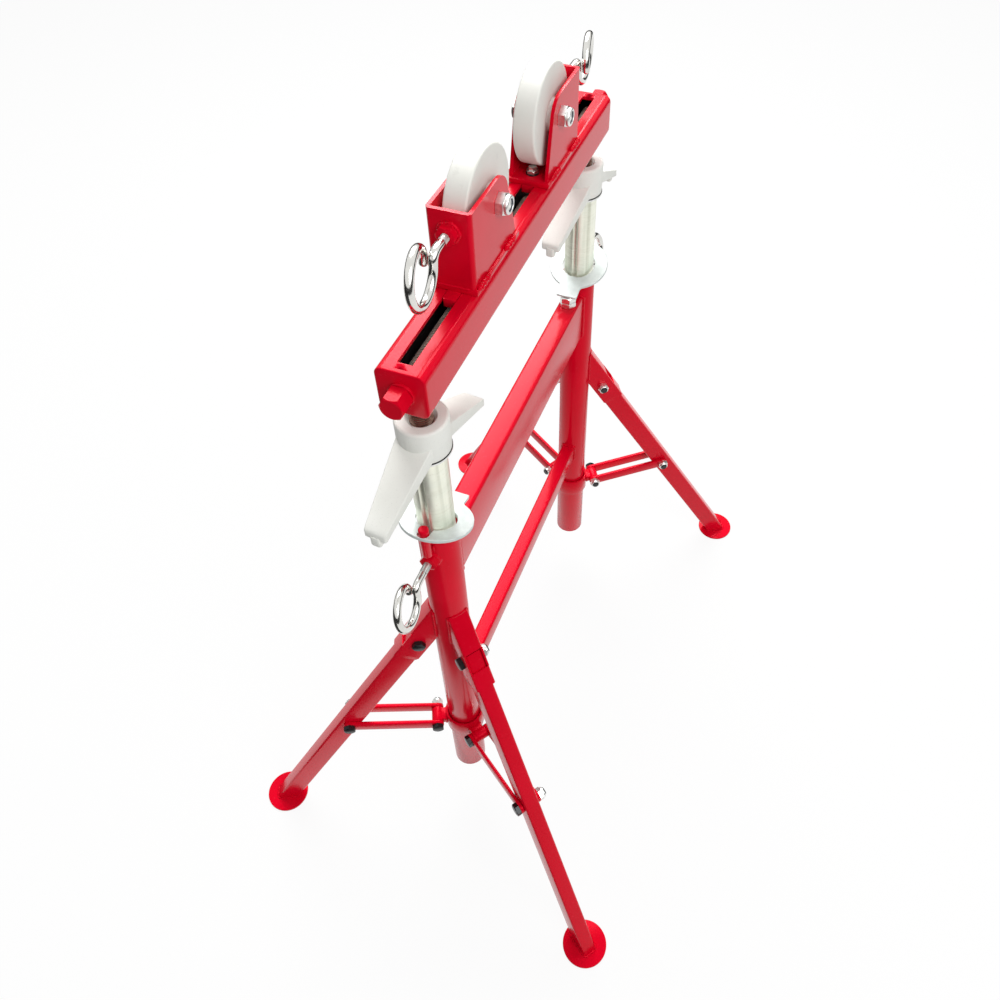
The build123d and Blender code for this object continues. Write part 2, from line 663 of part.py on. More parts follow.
for end in ends:
    save(f"column_{end}", at_end(end) * column())
save("upper_crossbar", upper_crossbar())
save("lower_crossbar", crossbar(lower_bar_width, lower_bar_height, lower_bar_top,
                                lower_bar_corner))
save("leg_brackets", *[leg_bracket(name) for name in legs])
save("clamp_weld_nuts", *[clamp_weld_nut(end) for end in ends])
save("guide_pins", *[guide_pin(end) for end in ends])
save("plate_stop_bolts", *[piece for end in ends for piece in stop_bolt(end)])
save("leg_pivot_bolts", *[piece for name in legs for piece in leg_pivot_bolt(name)])

for name in legs:
    save(f"leg_{name}", leg(name))
    save(f"foot_{name}", foot(name))
    save(f"link_{name}", *link(name))
    save(f"link_bolt_{name}", *link_bolt(name))

for end in ends:
    save(f"collar_{end}", collar(end))
    save(f"collar_bolts_{end}", *collar_bolts(end))
    save(f"lift_tube_{end}", lift_tube(end))
    save(f"thrust_washer_{end}", thrust_washer(end))
    save(f"wing_nut_{end}", wing_nut(end))
    save(f"lock_plate_{end}", lock_plate(end))
    save(f"clamp_eye_{end}", clamp_eye(end))
    save(f"carriage_bracket_{end}", carriage_bracket(end))
    save(f"carriage_base_{end}", carriage_base(end))
    save(f"lead_nut_{end}", *lead_nut(end))
    save(f"brake_weld_nut_{end}", brake_weld_nut(end))
    save(f"axle_bolt_{end}", *axle(end))
    save(f"wheel_{end}", wheel(end))
    save(f"wheel_bush_{end}", wheel_bush(end))
    save(f"brake_eye_{end}", brake_eye(end))

save("beam_tube", beam())
save("beam_end_plates", *[beam_cap(end) for end in ends])
save("screw_bushes", *[screw_bush(end) for end in ends])
save("lift_screws", *[lift_screw(end) for end in ends])
save("lead_screw", lead_screw())
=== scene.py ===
"""The looks of the folding pipe jack stand.

The shapes are worked out in millimetres on the CAD's own numbers, in the same frame: the
floor is at zero, X runs along the beam, the near end is at -X and left is +Y.  A form is a
pair of an array of points and a list of faces; piece() writes it into a mesh in metres.
"""
from functools import partialmethod
from math import atan, atan2, cos, degrees, hypot, pi, radians, sin, sqrt, tan

import bmesh
import bpy
import numpy as np
from mathutils import Matrix, Vector


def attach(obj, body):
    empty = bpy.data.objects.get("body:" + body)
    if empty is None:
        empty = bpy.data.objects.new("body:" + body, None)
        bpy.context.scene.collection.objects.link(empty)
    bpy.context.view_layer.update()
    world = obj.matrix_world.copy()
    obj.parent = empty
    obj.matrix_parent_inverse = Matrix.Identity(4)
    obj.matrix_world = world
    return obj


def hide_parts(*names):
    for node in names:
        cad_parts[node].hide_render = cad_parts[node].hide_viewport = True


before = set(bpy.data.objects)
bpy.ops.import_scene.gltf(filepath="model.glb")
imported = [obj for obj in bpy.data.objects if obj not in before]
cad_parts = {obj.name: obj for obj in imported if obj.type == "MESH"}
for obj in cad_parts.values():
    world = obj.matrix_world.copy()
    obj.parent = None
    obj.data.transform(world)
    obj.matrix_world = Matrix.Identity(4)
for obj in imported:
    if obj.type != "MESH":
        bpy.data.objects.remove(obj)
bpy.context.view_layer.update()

MM = 0.001
scene = bpy.context.scene
X, Z = (1, 0, 0), (0, 0, 1)
open_ends = (False, False)

# Main sizes of the stand, as in the part's source
column_place = 250.0
heading = {"near": 180.0, "far": 0.0}
legs = {"near_left": ("near", -1), "near_right": ("near", 1),
        "far_left": ("far", 1), "far_right": ("far", -1)}
leg_turn = {"near_left": -3.9, "near_right": -4.9, "far_left": 1.7, "far_right": 1.7}
leg_spread = 60.0
column_radius, column_bore, column_bottom, column_top = 24.15, 21.55, 101.0, 712.0
bracket_seat, bar_seat = 23.3, 23.4  # radii within the column's wall where these end
# Each crossbar's width, height, top, corner's radius and weld's size
crossbars = {"upper": (30, 80, 687, 4.5, 2.1), "lower": (22, 34, 352, 3.5, 1.9)}
bar_top = crossbars["upper"][2]
leg_width, leg_depth, leg_top = 22.0, 31.0, 14.5
pivot_radius, pivot_height, foot_circle = 45.6, 481.0, 318.6
foot_radius, foot_thickness = 33.2, 4.0
leg_angle = degrees(atan((foot_circle - pivot_radius) / pivot_height))
link_bolt_drop = 255.3
link_bolt_radius = pivot_radius + link_bolt_drop * sin(radians(leg_angle))
link_bolt_height = pivot_height - link_bolt_drop * cos(radians(leg_angle))
lug_place, lug_height = 41.7, 238.5
strap_place = leg_width / 2 + 0.3 + 2.5
grip_links, bracket_width = 32.6, 27.6
# Bolts: the thread's radius, the head's and nut's width over flats and their heights
m10 = {"radius": 5, "flats": 16, "head": 6.4, "nut": 9.5}
m12 = {"radius": 6, "flats": 21, "head": 8, "nut": 12.8}
collar_radius, collar_bottom, collar_top = 28.4, 221.4, 256.4
tube_radius, tube_bore, tube_bottom, tube_top = 21.2, 18.0, 330.0, 847.6
washer_radius, washer_bore, washer_top = 28, 12.8, tube_top + 3
hub_radius, hub_bottom, hub_top = 28.0, 850.9, 894.3
screw_radius, lift_screw_length = 12.4, 205.0
beam_half, beam_size, beam_top = 278.0, 52.2, 975.2
beam_wall, beam_corner, cap_place = 4.0, 8.4, beam_half - 5
beam_axis, beam_bottom = beam_top - beam_size / 2, beam_top - beam_size
slot_half, slot_half_length = 7.7, 264.7
lead_radius, lead_root, lead_half = 10, 8.2, 272
drive_flats, drive_height, drive_stand = 24, 19.5, {"near": 0.0, "far": 17.0}
base_bottom, base_top = beam_top + 0.3, beam_top + 6.3
axle_place, axle_height = 90.0, 1040.0
carriage_top, carriage_rear, carriage_half, carriage_sheet = 1065.5, 155.0, 23.0, 4.0
wheel_radius, rod_radius = 54.8, 4.7
painted_nut, nut_skirt = 19, 10.6  # a welded nut's width over flats and its weld's radius
brake_height, clamp_height = 1043.0, 683.0
brake_place = {"near": 217.3, "far": 242.3}
brake_gap = {"near": 1.2, "far": 4.2}
clamp_place, clamp_turn = 89.4, {"near": 7.5, "far": 165.0}
eye_radius, eye_thread = {"clamp": 22.8, "brake": 26.3}, {"clamp": 24, "brake": 26}
plate_height, plate_tilt, plate_reach, plate_half = 726.9, 18.5, 56, 2
pin_place, pin_radius, stop_place, stop_flats, stop_height = 30.15, 6, 47, 21, 696.3


# Placing: each matrix carries a form from the drawing of one end or leg to its place
def shift(x=0.0, y=0.0, z=0.0):
    """A move by x, y and z."""
    move = np.eye(4)
    move[:3, 3] = x, y, z
    return move


def turn(axis, angle):
    """A right-handed turn of so many degrees about a main axis."""
    a, b = {"x": (1, 2), "y": (2, 0), "z": (0, 1)}[axis]
    move = np.eye(4)
    move[a, a] = move[b, b] = cos(radians(angle))
    move[b, a], move[a, b] = sin(radians(angle)), -sin(radians(angle))
    return move


def at_end(end):
    """The column of one end, with +X outboard."""
    return shift(cos(radians(heading[end])) * column_place) @ turn("z", heading[end])


def at_beam_end(end):
    """One half of the beam, with +X outboard and the beam's middle at zero."""
    return turn("z", heading[end])


def at_leg(leg):
    """A leg's upright plane, with +X away from the column's axis."""
    end, side = legs[leg]
    return (shift(cos(radians(heading[end])) * column_place)
            @ turn("z", heading[end] + side * leg_spread + leg_turn[leg]))


def across(leg):
    """A bolt along Z laid across its leg, head to the outboard side."""
    return turn("x", -90 * legs[leg][1])


along_leg = shift(pivot_radius, 0, pivot_height) @ turn("y", -leg_angle)
along_x = turn("y", 90)
along_y = turn("x", 90)


# Forms
def skin(rows, closed=True, ring=False, caps=(True, True)):
    """A surface on a grid of points: each face joins four neighbours in two rows.

    With closed the last column meets the first, with ring the last row meets the first,
    and caps fill the first and last rows."""
    rows = np.asarray(rows, float)
    count, width = rows.shape[:2]
    i = np.arange(count if ring else count - 1)[:, None] * width
    after = (i + width) % (count * width)
    j = np.arange(width if closed else width - 1)
    beside = (j + 1) % width
    faces = np.stack([i + j, i + beside, after + beside, after + j], -1).reshape(-1, 4).tolist()
    if not ring and caps[0]:
        faces.append(list(range(width))[::-1])
    if not ring and caps[1]:
        faces.append(list(range((count - 1) * width, count * width)))
    return rows.reshape(-1, 3), faces


def grid(x, y, z):
    """Points from their coordinates, all spread to one shape."""
    return np.stack(np.broadcast_arrays(x, y, z), -1)


def level(outline, z):
    """An outline laid at one height, or each of its points at its own."""
    return grid(outline[:, 0], outline[:, 1], z)


def upright(outline, x, rise):
    """An outline stood across X: its first number runs along Y, its second up from a rise."""
    return grid(x, outline[:, 0], outline[:, 1] + rise)


def around(radius, angle, centre=(0.0, 0.0)):
    """Points at a radius and an angle about a centre: x = r cos a, y = r sin a."""
    return np.stack([radius * np.cos(angle), radius * np.sin(angle)], -1) + centre


def full_turn(count):
    """Even angles round a full turn."""
    return np.arange(count) * 2 * pi / count


def rounds(levels, angle):
    """Rows of points at these angles about Z, one for each level of (radius, height)."""
    return [level(around(radius, angle), z) for radius, z in levels]


def looped(outline):
    """An outline with its first point again at its end."""
    return np.vstack([outline, outline[:1]])


def moved(form, *places):
    """The form carried by a product of placing matrices."""
    points, faces = form
    place = np.linalg.multi_dot([np.eye(4), np.eye(4), *places])  # it needs two at least
    return points @ place[:3, :3].T + place[:3, 3], faces


def together(*forms):
    """Several forms as one, the faces of each counted on from the points before it."""
    start, faces = 0, []
    for points, own in forms:
        faces += [[start + k for k in face] for face in own]
        start += len(points)
    return np.concatenate([points for points, own in forms]), faces


def unit(vectors):
    """Vectors divided by their own lengths."""
    return vectors / np.maximum(np.linalg.norm(vectors, axis=-1, keepdims=True), 1e-12)


def softened(corners, radii, steps=4, hold=0.0):
    """A closed outline whose corners are arcs, with a point held this far before and after
    each arc where the flats beside it should stay flat.

    With unit vectors a and b from a corner to its neighbours and h half the angle between
    them, the arc's centre lies radius / sin h along their bisector and its ends lie
    radius / tan h along a and b; between them the arm from the centre turns evenly."""
    corners = np.asarray(corners, float)
    radius = np.broadcast_to(np.asarray(radii, float), len(corners))[:, None]
    a = unit(np.roll(corners, 1, 0) - corners)
    b = unit(np.roll(corners, -1, 0) - corners)
    half = np.arccos(np.clip((a * b).sum(1), -1, 1))[:, None] / 2
    centre = corners + unit(a + b) * radius / np.sin(half)
    arm_a = corners + a * radius / np.tan(half) - centre
    arm_b = corners + b * radius / np.tan(half) - centre
    sweep = (pi - 2 * half)[:, :, None]
    share = np.linspace(0, 1, steps)[None, :, None]
    arms = np.sin((1 - share) * sweep) * arm_a[:, None] + np.sin(share * sweep) * arm_b[:, None]
    arcs = centre[:, None] + arms / np.sin(sweep)
    if hold:
        arcs = np.concatenate([arcs[:, :1] + a[:, None] * hold, arcs,
                               arcs[:, -1:] + b[:, None] * hold], 1)
    return arcs.reshape(-1, corners.shape[1])


def oblong(width, height, radius, steps=5, hold=0.0):
    """A rounded rectangle about the origin, run round anticlockwise."""
    w, h = width / 2, height / 2
    return softened([(w, h), (-w, h), (-w, -h), (w, -h)], radius, steps, hold)


def rounded(low, high, radii, steps):
    """A rounded rectangle from its lower corner to its upper one, run round anticlockwise."""
    return softened([low, (high[0], low[1]), high, (low[0], high[1])], radii, steps)


def inset(outline, distance):
    """A closed outline moved inwards: each point goes along its own inward normal, which is
    the run from the point before it to the point after it, turned by a right angle."""
    run = np.roll(outline, -1, 0) - np.roll(outline, 1, 0)
    area = np.sum(outline[:, 0] * np.roll(outline[:, 1], -1)
                  - np.roll(outline[:, 0], -1) * outline[:, 1])
    inward = np.stack([-run[:, 1], run[:, 0]], 1) * np.sign(area)
    return outline + unit(inward) * distance


def turned(profile, sides=72, ring=False, caps=(True, True)):
    """A profile of (radius, height) pairs turned about Z."""
    return skin(rounds(profile, full_turn(sides)), ring=ring, caps=caps)


def stub(radius, low, high, rims, steps):
    """The profile of a solid round: out from the axis, up past two rounded rims and back."""
    outline = rounded((-9, low), (radius, high), (0.1, *rims, 0.1), steps)
    return np.vstack([[(0, low)], outline[outline[:, 0] > 0], [(0, high)]])


def rod_between(radius, half, sides):
    """A plain round rod along Z with its middle at zero."""
    return turned([(0, -half), (radius, -half), (radius, half), (0, half)], sides, caps=open_ends)


def pipe(outer, inner, bottom, top, edge=0.4, sides=96):
    """A round tube: its wall's rounded section turned about Z."""
    return turned(rounded((inner, bottom), (outer, top), edge, 3), sides, ring=True)


def slab(outline, bottom, top, edge=0.5):
    """An outline carried from bottom to top with its rims drawn in by a rounded edge."""
    share = np.array([0.0, 0.3, 1.0])
    rise = edge * share
    draw = edge * (1 - np.sqrt(1 - (1 - share) ** 2))
    levels = list(zip(bottom + rise, draw)) + list(zip(top - rise[::-1], draw[::-1]))
    return skin([level(inset(outline, d), z) for z, d in levels])


def swept(sections, path, side):
    """Sections carried along a path: a section's first number is measured along the side
    vector made square to the path, its second along the cross product of path and side."""
    path, side = np.asarray(path, float), np.broadcast_to(np.asarray(side, float), (len(path), 3))
    along = unit(np.gradient(path, axis=0))
    first = unit(side - along * np.sum(side * along, -1, keepdims=True))
    second = np.cross(along, first)
    sections = np.broadcast_to(sections, (len(path),) + np.shape(sections)[-2:])
    return skin(path[:, None] + sections[..., :1] * first[:, None]
                + sections[..., 1:] * second[:, None])


def paced(path, step):
    """A path again with its points a step apart, by their length along it."""
    path = np.asarray(path, float)
    length = np.concatenate([[0], np.cumsum(np.linalg.norm(np.diff(path, axis=0), axis=1))])
    at = np.linspace(0, length[-1], max(3, int(length[-1] / step)))
    return np.stack([np.interp(at, length, path[:, k]) for k in range(path.shape[1])], -1), at


def bead(path, side, size, ripple=2.6):
    """A weld: a circle carried along its path, swelling and shrinking with a rounded wave
    as the welder's hand went on, and drawn to a point at both ends."""
    path, at = paced(path, 0.65)
    wave = 0.82 + 0.22 * np.abs(np.sin(pi * at / ripple)) + 0.07 * np.sin(at * 0.83)
    ends = np.clip(np.minimum(at, at[-1] - at) / (1.4 * size), 0.08, 1) ** 0.5
    radius = (size * wave * ends)[:, None, None]
    return swept(around(1.0, full_turn(10))[None] * radius, path, side)


def screwed(radius, pitch, bottom, top, deep, hand=1, starts=1):
    """A threaded rod: at the angle a and the share w across one thread the surface lies at
    the height bottom + lead * a / 360 + pitch * w, held between the two ends, and at the
    crest's radius or the root's. Its depth is a share of the pitch; a left hand is -1."""
    steps = 28
    share = np.array([0.0, 0.22, 0.46, 0.72, 1.0])
    fall = np.array([0.0, 0.0, 1.0, 1.0, 0.0]) * deep * pitch
    lead = pitch * starts
    count = int((top - bottom) / lead + 2) * steps
    angle = (np.arange(count + 1) - steps)[:, None] * 2 * pi / steps
    forms = []
    for start in range(starts):
        z = np.clip(bottom + lead * (angle / (2 * pi) + start / starts) + pitch * share,
                    bottom, top)
        reach = radius - fall
        rows = grid(reach * np.cos(hand * angle), reach * np.sin(hand * angle), z)
        forms.append(skin(rows, closed=False, caps=open_ends))
    core = radius - 0.97 * deep * pitch
    forms.append(turned([(0, bottom), (core, bottom), (core, top), (0, top)], 36, caps=open_ends))
    return together(*forms)


def hexagon(flats, height, chamfer=0.7, both=False, bore=0.0):
    """A hexagonal head or nut standing on zero, with both rims chamfered or only the upper
    one, and open inside where it has a bore.

    Its radius at an angle is flats / 2 over the cosine of the angle from the middle of a
    flat, and a cone of 30 degrees from a circle within the flats turns its corners off."""
    angle = full_turn(48)
    off = (angle + pi / 6) % (pi / 3) - pi / 6
    radius = flats / 2 / np.cos(off)
    crest = flats / 2 * 0.94
    fall = (radius - crest) * tan(radians(30)) * chamfer / 0.7
    foot = [(crest, 0), (radius, fall)] if both else [(radius - 0.25, 0), (radius, 0.25)]
    levels = [(bore, 0), *foot, (radius, height - fall), (crest, height), (bore, height)]
    return skin(rounds(levels, angle), ring=bore > 0)


def lock_nut(flats, height, radius):
    """A locking nut standing on zero: a hexagon below, a rounded collar above with a
    counterbore. Gives the steel and the ring of softer stuff inside the collar."""
    body = hexagon(flats, 0.68 * height)
    collar = rounded((radius + 0.6, 0.5 * height), (0.47 * flats, height),
                     (0.2, 0.2, 0.16 * height, 0.4), 6)
    ring = pipe(radius + 0.8, radius - 0.3, 0.6 * height, 0.93 * height, 0.2, 36)
    return together(body, turned(collar, 48, ring=True)), ring


def fastener(radius, flats, head, grip, nut, place, stand=1.5):
    """A bolt through a grip, head below and locking nut above, as forms by finish; its end
    stands past the nut, or short of it where the number is negative."""
    below = moved(hexagon(flats, head), shift(0, 0, -grip / 2), turn("x", 180))
    steel, ring = lock_nut(flats, nut, radius)
    above = shift(0, 0, grip / 2)
    tip = grip / 2 + nut + stand
    end = screwed(radius, 1.5, grip / 2 + 0.4 * nut, tip, 0.4)
    return {name: moved(form, place) for name, form in {
        "head": below, "nut": moved(steel, above), "ring": moved(ring, above), "end": end}.items()}


# Finishes
class Tone:
    """A value that changes over a surface: arithmetic on it, from either side, adds a Math
    node, and a comparison gives 1 where it holds and 0 elsewhere."""

    def __init__(self, socket):
        self.socket = socket

    def _math(self, operation, other, swapped=False):
        tree = self.socket.id_data
        node = tree.nodes.new("ShaderNodeMath")
        node.operation = operation
        for socket, value in zip(node.inputs, (other, self) if swapped else (self, other)):
            feed(tree, socket, value)
        return Tone(node.outputs[0])

    __add__ = __radd__ = partialmethod(_math, "ADD")
    __mul__ = __rmul__ = partialmethod(_math, "MULTIPLY")
    __sub__ = partialmethod(_math, "SUBTRACT")
    __rsub__ = partialmethod(_math, "SUBTRACT", swapped=True)
    __pow__ = partialmethod(_math, "POWER")
    __rpow__ = partialmethod(_math, "POWER", swapped=True)
    __gt__ = partialmethod(_math, "GREATER_THAN")
    __lt__ = partialmethod(_math, "LESS_THAN")


def feed(tree, socket, value):
    """Links a Tone to a socket, or sets the socket to a plain value."""
    if isinstance(value, Tone):
        tree.links.new(value.socket, socket)
    else:
        socket.default_value = value


class Finish:
    """A material of one name with the nodes that make its colour, roughness and relief."""

    def __init__(self, name, slot):
        self.material = bpy.data.materials.new(name)
        self.material.use_nodes = True
        self.slot = slot
        self.tree = self.material.node_tree
        self.shader = self.tree.nodes["Principled BSDF"]

    def node(self, kind, sockets=None, output=0, **settings):
        """Any node of a type, with its sockets fed and its own settings made."""
        made = self.tree.nodes.new("ShaderNode" + kind)
        for key, value in settings.items():
            setattr(made, key, value)
        for key, value in (sockets or {}).items():
            feed(self.tree, made.inputs[key], value)
        return Tone(made.outputs[output])

    def place(self, scale=(1, 1, 1), turned_by=(0, 0, 0)):
        """Points of the piece in metres, stretched and turned."""
        points = self.node("TexCoord", output=3)
        return self.node("Mapping", {"Vector": points, "Scale": scale, "Rotation": turned_by})

    def noise(self, scale, detail=2.0, rough=0.5, points=None):
        """Cloudy noise between 0 and 1."""
        return self.node("TexNoise", {"Vector": points or self.place(), "Scale": scale,
                                      "Detail": detail, "Roughness": rough})

    def between(self, value, low, high):
        """The value's range from low to high stretched over 0 to 1 and held there."""
        return self.node("MapRange", {"Value": value, "From Min": low, "From Max": high})

    def patches(self, scale, low, high, detail=2.0, rough=0.5, points=None):
        """Noise of which the range from low to high is stretched over 0 to 1."""
        return self.between(self.noise(scale, detail, rough, points), low, high)

    def blend(self, share, first, second):
        """One colour into another by a share."""
        return self.node("Mix", {0: share, 6: first, 7: second}, 2, data_type="RGBA")

    def relief(self, height, distance=0.00003, strength=0.3):
        """The surface's tilt from a height, given in shares of the distance in metres."""
        return self.node("Bump", {"Height": height, "Distance": distance, "Strength": strength})

    def set(self, **sockets):
        """Sets or links the shader's own sockets, spaces in their names written as _."""
        for key, value in sockets.items():
            feed(self.tree, self.shader.inputs[key.replace("_", " ")], value)
        return self


def rgb(red, green, blue):
    """A colour given as it looks on a screen, in 0 to 255, made linear."""
    shade = np.array([red, green, blue]) / 255
    linear = np.where(shade <= 0.04045, shade / 12.92, ((shade + 0.055) / 1.055) ** 2.4)
    return (*linear.tolist(), 1.0)


def red_powder_coat():
    """Deep red powder coat: faint orange peel under a hard gloss, with settled dust pits."""
    f = Finish("red_powder_coat", "red_paint")
    cloud = f.patches(14, 0.3, 0.7, 3)
    peel = f.noise(420, 2) * 0.7 + f.noise(1300, 1) * 0.3
    pits = f.patches(260, 0.76, 0.80, 0)
    colour = f.blend(cloud, rgb(202, 2, 30), rgb(212, 4, 36))
    return f.set(Base_Color=f.blend(pits * 0.25, colour, rgb(220, 40, 62)),
                 Roughness=0.17 + cloud * 0.05,
                 Normal=f.relief(peel - pits * 0.6, 0.00005, 0.3), Specular_IOR_Level=0.36,
                 Specular_Tint=(1, 0.06, 0.1, 1))


def cast_paint():
    """Grey paint over a casting: the sand's grain shows through, and its pits are painted darker
    as painted shade, so that high places look paler.
    """
    f = Finish("grey_cast_paint", "cast")
    grain = f.noise(520, 4, 0.62)
    pits = f.patches(900, 0.68, 0.78, 1)
    colour = f.blend(f.patches(22, 0.3, 0.7, 3), rgb(225, 226, 219), rgb(233, 234, 228))
    # pits: small hollows painted darker, as painted shade.
    return f.set(Base_Color=f.blend(pits * 0.5, colour, rgb(176, 177, 172)),
                 Roughness=0.5 + grain * 0.14,
                 Normal=f.relief(grain * 0.8 - pits * 0.5, 0.00022, 0.4))


def wheel_coat():
    """The wheels' warm grey coat: even, fine-grained, a little darker where it has rubbed."""
    f = Finish("wheel_grey_coat", "wheel_grey")
    grain = f.noise(760, 3, 0.6)
    colour = f.blend(f.patches(16, 0.35, 0.68, 4), rgb(220, 220, 213), rgb(227, 227, 221))
    rub = f.patches(70, 0.60, 0.72, 5, 0.7)
    return f.set(Base_Color=f.blend(rub * 0.3, colour, rgb(188, 188, 181)),
                 Roughness=0.46 + grain * 0.12, Normal=f.relief(grain, 0.0001, 0.35))


def plated_tube():
    """Yellowish zinc on the lifting tube: broad bands down it painted darker as painted reflection
    and shade, fine streaks down it in its relief, short level ticks that the lock plate has
    rubbed in, and a few slanting bites."""
    f = Finish("yellow_zinc_tube", "yellow_zinc")
    lines = f.noise(1.0, 3, 0.6, f.place((60, 60, 640)))
    bites = f.patches(1.0, 0.57, 0.63, points=f.place((9, 9, 230), (0.10, 0.05, 0)))
    streaks = f.noise(1.0, points=f.place((420, 420, 7)))
    rust = f.patches(330, 0.60, 0.72, 4, 0.7)
    # drawn: broad bands down the tube painted darker, a painted reflection and shade
    drawn = f.patches(1.0, 0.42, 0.6, points=f.place((85, 85, 2)))
    colour = f.blend(f.patches(30, 0.35, 0.65, 3), rgb(250, 250, 234), rgb(240, 243, 228))
    for share, streak in ((drawn * 0.6, (178, 179, 158)), (bites * 0.06, (150, 146, 124)),
                          (rust * 0.35, (196, 176, 150)),
                          (f.between(lines, 0.52, 0.62) * 0.3, (250, 250, 240))):
        colour = f.blend(share, colour, rgb(*streak))
    return f.set(Base_Color=colour, Roughness=0.30 + lines * 0.12 + bites * 0.08, Metallic=0.85,
                 Normal=f.relief(lines * 0.4 + streaks * 0.8, 0.00005, 0.4))


def plated_plate():
    """Blue-white zinc on flat plates: faint clouds and the rolling direction's fine lines."""
    f = Finish("zinc_plate", "zinc")
    rolled = f.noise(1.0, points=f.place((30, 700, 30)))
    colour = f.blend(f.patches(60, 0.35, 0.68, 4, 0.6), rgb(196, 203, 201), rgb(214, 221, 219))
    return f.set(Base_Color=colour, Metallic=0.35, Roughness=0.52 + rolled * 0.14,
                 Normal=f.relief(rolled, strength=0.4))


def bright_zinc():
    """Bright zinc on nuts and bolts: clean, with soft clouds in its gloss."""
    f = Finish("bright_zinc_hardware", "zinc")
    cloud = f.noise(240, 3)
    colour = f.blend(f.between(cloud, 0.35, 0.65), rgb(214, 216, 214), rgb(236, 236, 232))
    return f.set(Base_Color=colour, Metallic=1.0, Roughness=0.24 + cloud * 0.14,
                 Normal=f.relief(f.noise(900, 2)))


def chrome_plate():
    """Chrome on the eye bolts: a mirror with a trace of haze and forging waves under it."""
    f = Finish("chrome_eye_bolt", "chrome")
    haze = f.noise(90, 3)
    colour = f.blend(f.between(haze, 0.3, 0.7), rgb(214, 213, 208), rgb(228, 227, 222))
    return f.set(Base_Color=colour, Metallic=1.0, Roughness=0.10 + haze * 0.08,
                 Normal=f.relief(f.noise(120, 1), 0.00008, 0.25))


def black_oxide():
    """Black oxide on bolt heads, greyer where a spanner has turned them."""
    f = Finish("black_oxide_bolt", "black_steel")
    worn = f.patches(380, 0.55, 0.75, 4, 0.65)
    return f.set(Base_Color=f.blend(worn * 0.4, rgb(30, 30, 32), rgb(74, 74, 76)), Metallic=0.35,
                 Roughness=0.30 + worn * 0.18, Normal=f.relief(worn))


def bright_thread():
    """The lead screw's rolled steel: warm and bright on the crests, and painted dark in the roots
    as painted shade; the roots are where root of (y squared + height over the axis squared) is
    small."""
    f = Finish("bright_screw_steel", "screw_steel")
    y, z = (f.node("SeparateXYZ", {0: f.place()}, k) for k in (1, 2))
    out = (y * y + (z - beam_axis * MM) ** 2) ** 0.5
    crest = f.between(out, 0.0085, 0.0091)
    grease = f.patches(170, 0.4, 0.62, 4, 0.6) * 0.5
    steel = f.blend(grease, rgb(250, 236, 222), rgb(222, 196, 176))
    # Near-black in the roots: painted shade between the threads.
    return f.set(Base_Color=f.blend(crest, rgb(30, 18, 14), steel), Metallic=0.2,
                 Roughness=0.26 + grease * 0.14, Normal=f.relief(f.noise(1500, 2)))


def greased_thread():
    """The lift screws' steel under brown grease, which lies in thick and thin clouds."""
    f = Finish("greased_screw_steel", "screw_steel")
    grease = f.patches(130, 0.4, 0.62, 4, 0.6)
    return f.set(Base_Color=f.blend(grease, rgb(150, 122, 108), rgb(92, 58, 46)), Metallic=0.8,
                 Roughness=0.16 + grease * 0.16, Normal=f.relief(f.noise(900, 2)))


def machined_steel():
    """Plain turned steel: fine cutter marks."""
    f = Finish("machined_bush_steel", "bush_steel")
    marks = f.noise(1400, 2)
    colour = f.blend(f.patches(200, 0.4, 0.6, 3), rgb(176, 172, 166), rgb(196, 193, 188))
    return f.set(Base_Color=colour, Metallic=1.0, Roughness=0.26 + marks * 0.14,
                 Normal=f.relief(marks))


def inside_scale_and_painted_shade():
    """Near-black, with bluish and brown clouds: the scale that a hot-rolled tube keeps inside,
    painted darker as the shade within it, and the painted shade of thin rings.
    """
    f = Finish("inside_scale_and_painted_shade", "black_steel")
    cloud = f.patches(60, 0.38, 0.64, 4, 0.6)
    return f.set(Base_Color=f.blend(cloud, rgb(16, 13, 13), rgb(30, 21, 19)),
                 Roughness=0.6 + cloud * 0.15, Normal=f.relief(f.noise(700, 3), 0.00005, 0.3))


def nut_ring():
    """The dark ring in a locking nut: matt, faintly mottled."""
    f = Finish("lock_nut_ring", "black_steel")
    mottle = f.noise(1200, 3)
    return f.set(Base_Color=f.blend(mottle, rgb(20, 26, 44), rgb(38, 46, 66)),
                 Roughness=0.45 + mottle * 0.15)


red, cast, coat = red_powder_coat(), cast_paint(), wheel_coat()
tube_zinc, plate_zinc, zinc, chrome = plated_tube(), plated_plate(), bright_zinc(), chrome_plate()
black, thread, greased = black_oxide(), bright_thread(), greased_thread()
# scale: the near-black finish of the beam's inside and of the painted shade rings
steel, ring_dark, scale = machined_steel(), nut_ring(), inside_scale_and_painted_shade()


def new_object(name, form, finish):
    """A form written into a mesh in metres, with its finish, as an object of the scene."""
    points, faces = form
    mesh = bpy.data.meshes.new(name)
    mesh.from_pydata((points * MM).tolist(), [], faces)
    mesh.materials.append(finish.material)
    made = bpy.data.objects.new(name, mesh)
    scene.collection.objects.link(made)
    return made


def piece(name, form, finish, body, *nodes, edge=32.0, bevel=0.0):
    """A visible piece of the stand: it rides on a body and stands for some CAD nodes. The
    edge is the angle in degrees from which its faces meet sharply, and the bevel is in
    millimetres."""
    made = new_object(name, form, finish)
    mesh = made.data
    work = bmesh.new()
    work.from_mesh(mesh)
    bmesh.ops.remove_doubles(work, verts=work.verts, dist=1e-6)
    bmesh.ops.recalc_face_normals(work, faces=work.faces)
    work.to_mesh(mesh)
    work.free()
    mesh.polygons.foreach_set("use_smooth", [True] * len(mesh.polygons))
    mesh.set_sharp_from_angle(angle=radians(edge))
    if bevel:
        rim = made.modifiers.new("rounded_edges", "BEVEL")
        rim.width, rim.segments, rim.limit_method = bevel * MM, 2, "ANGLE"
        rim.angle_limit = radians(40)
    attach(made, body)
    if nodes:
        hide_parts(*nodes)


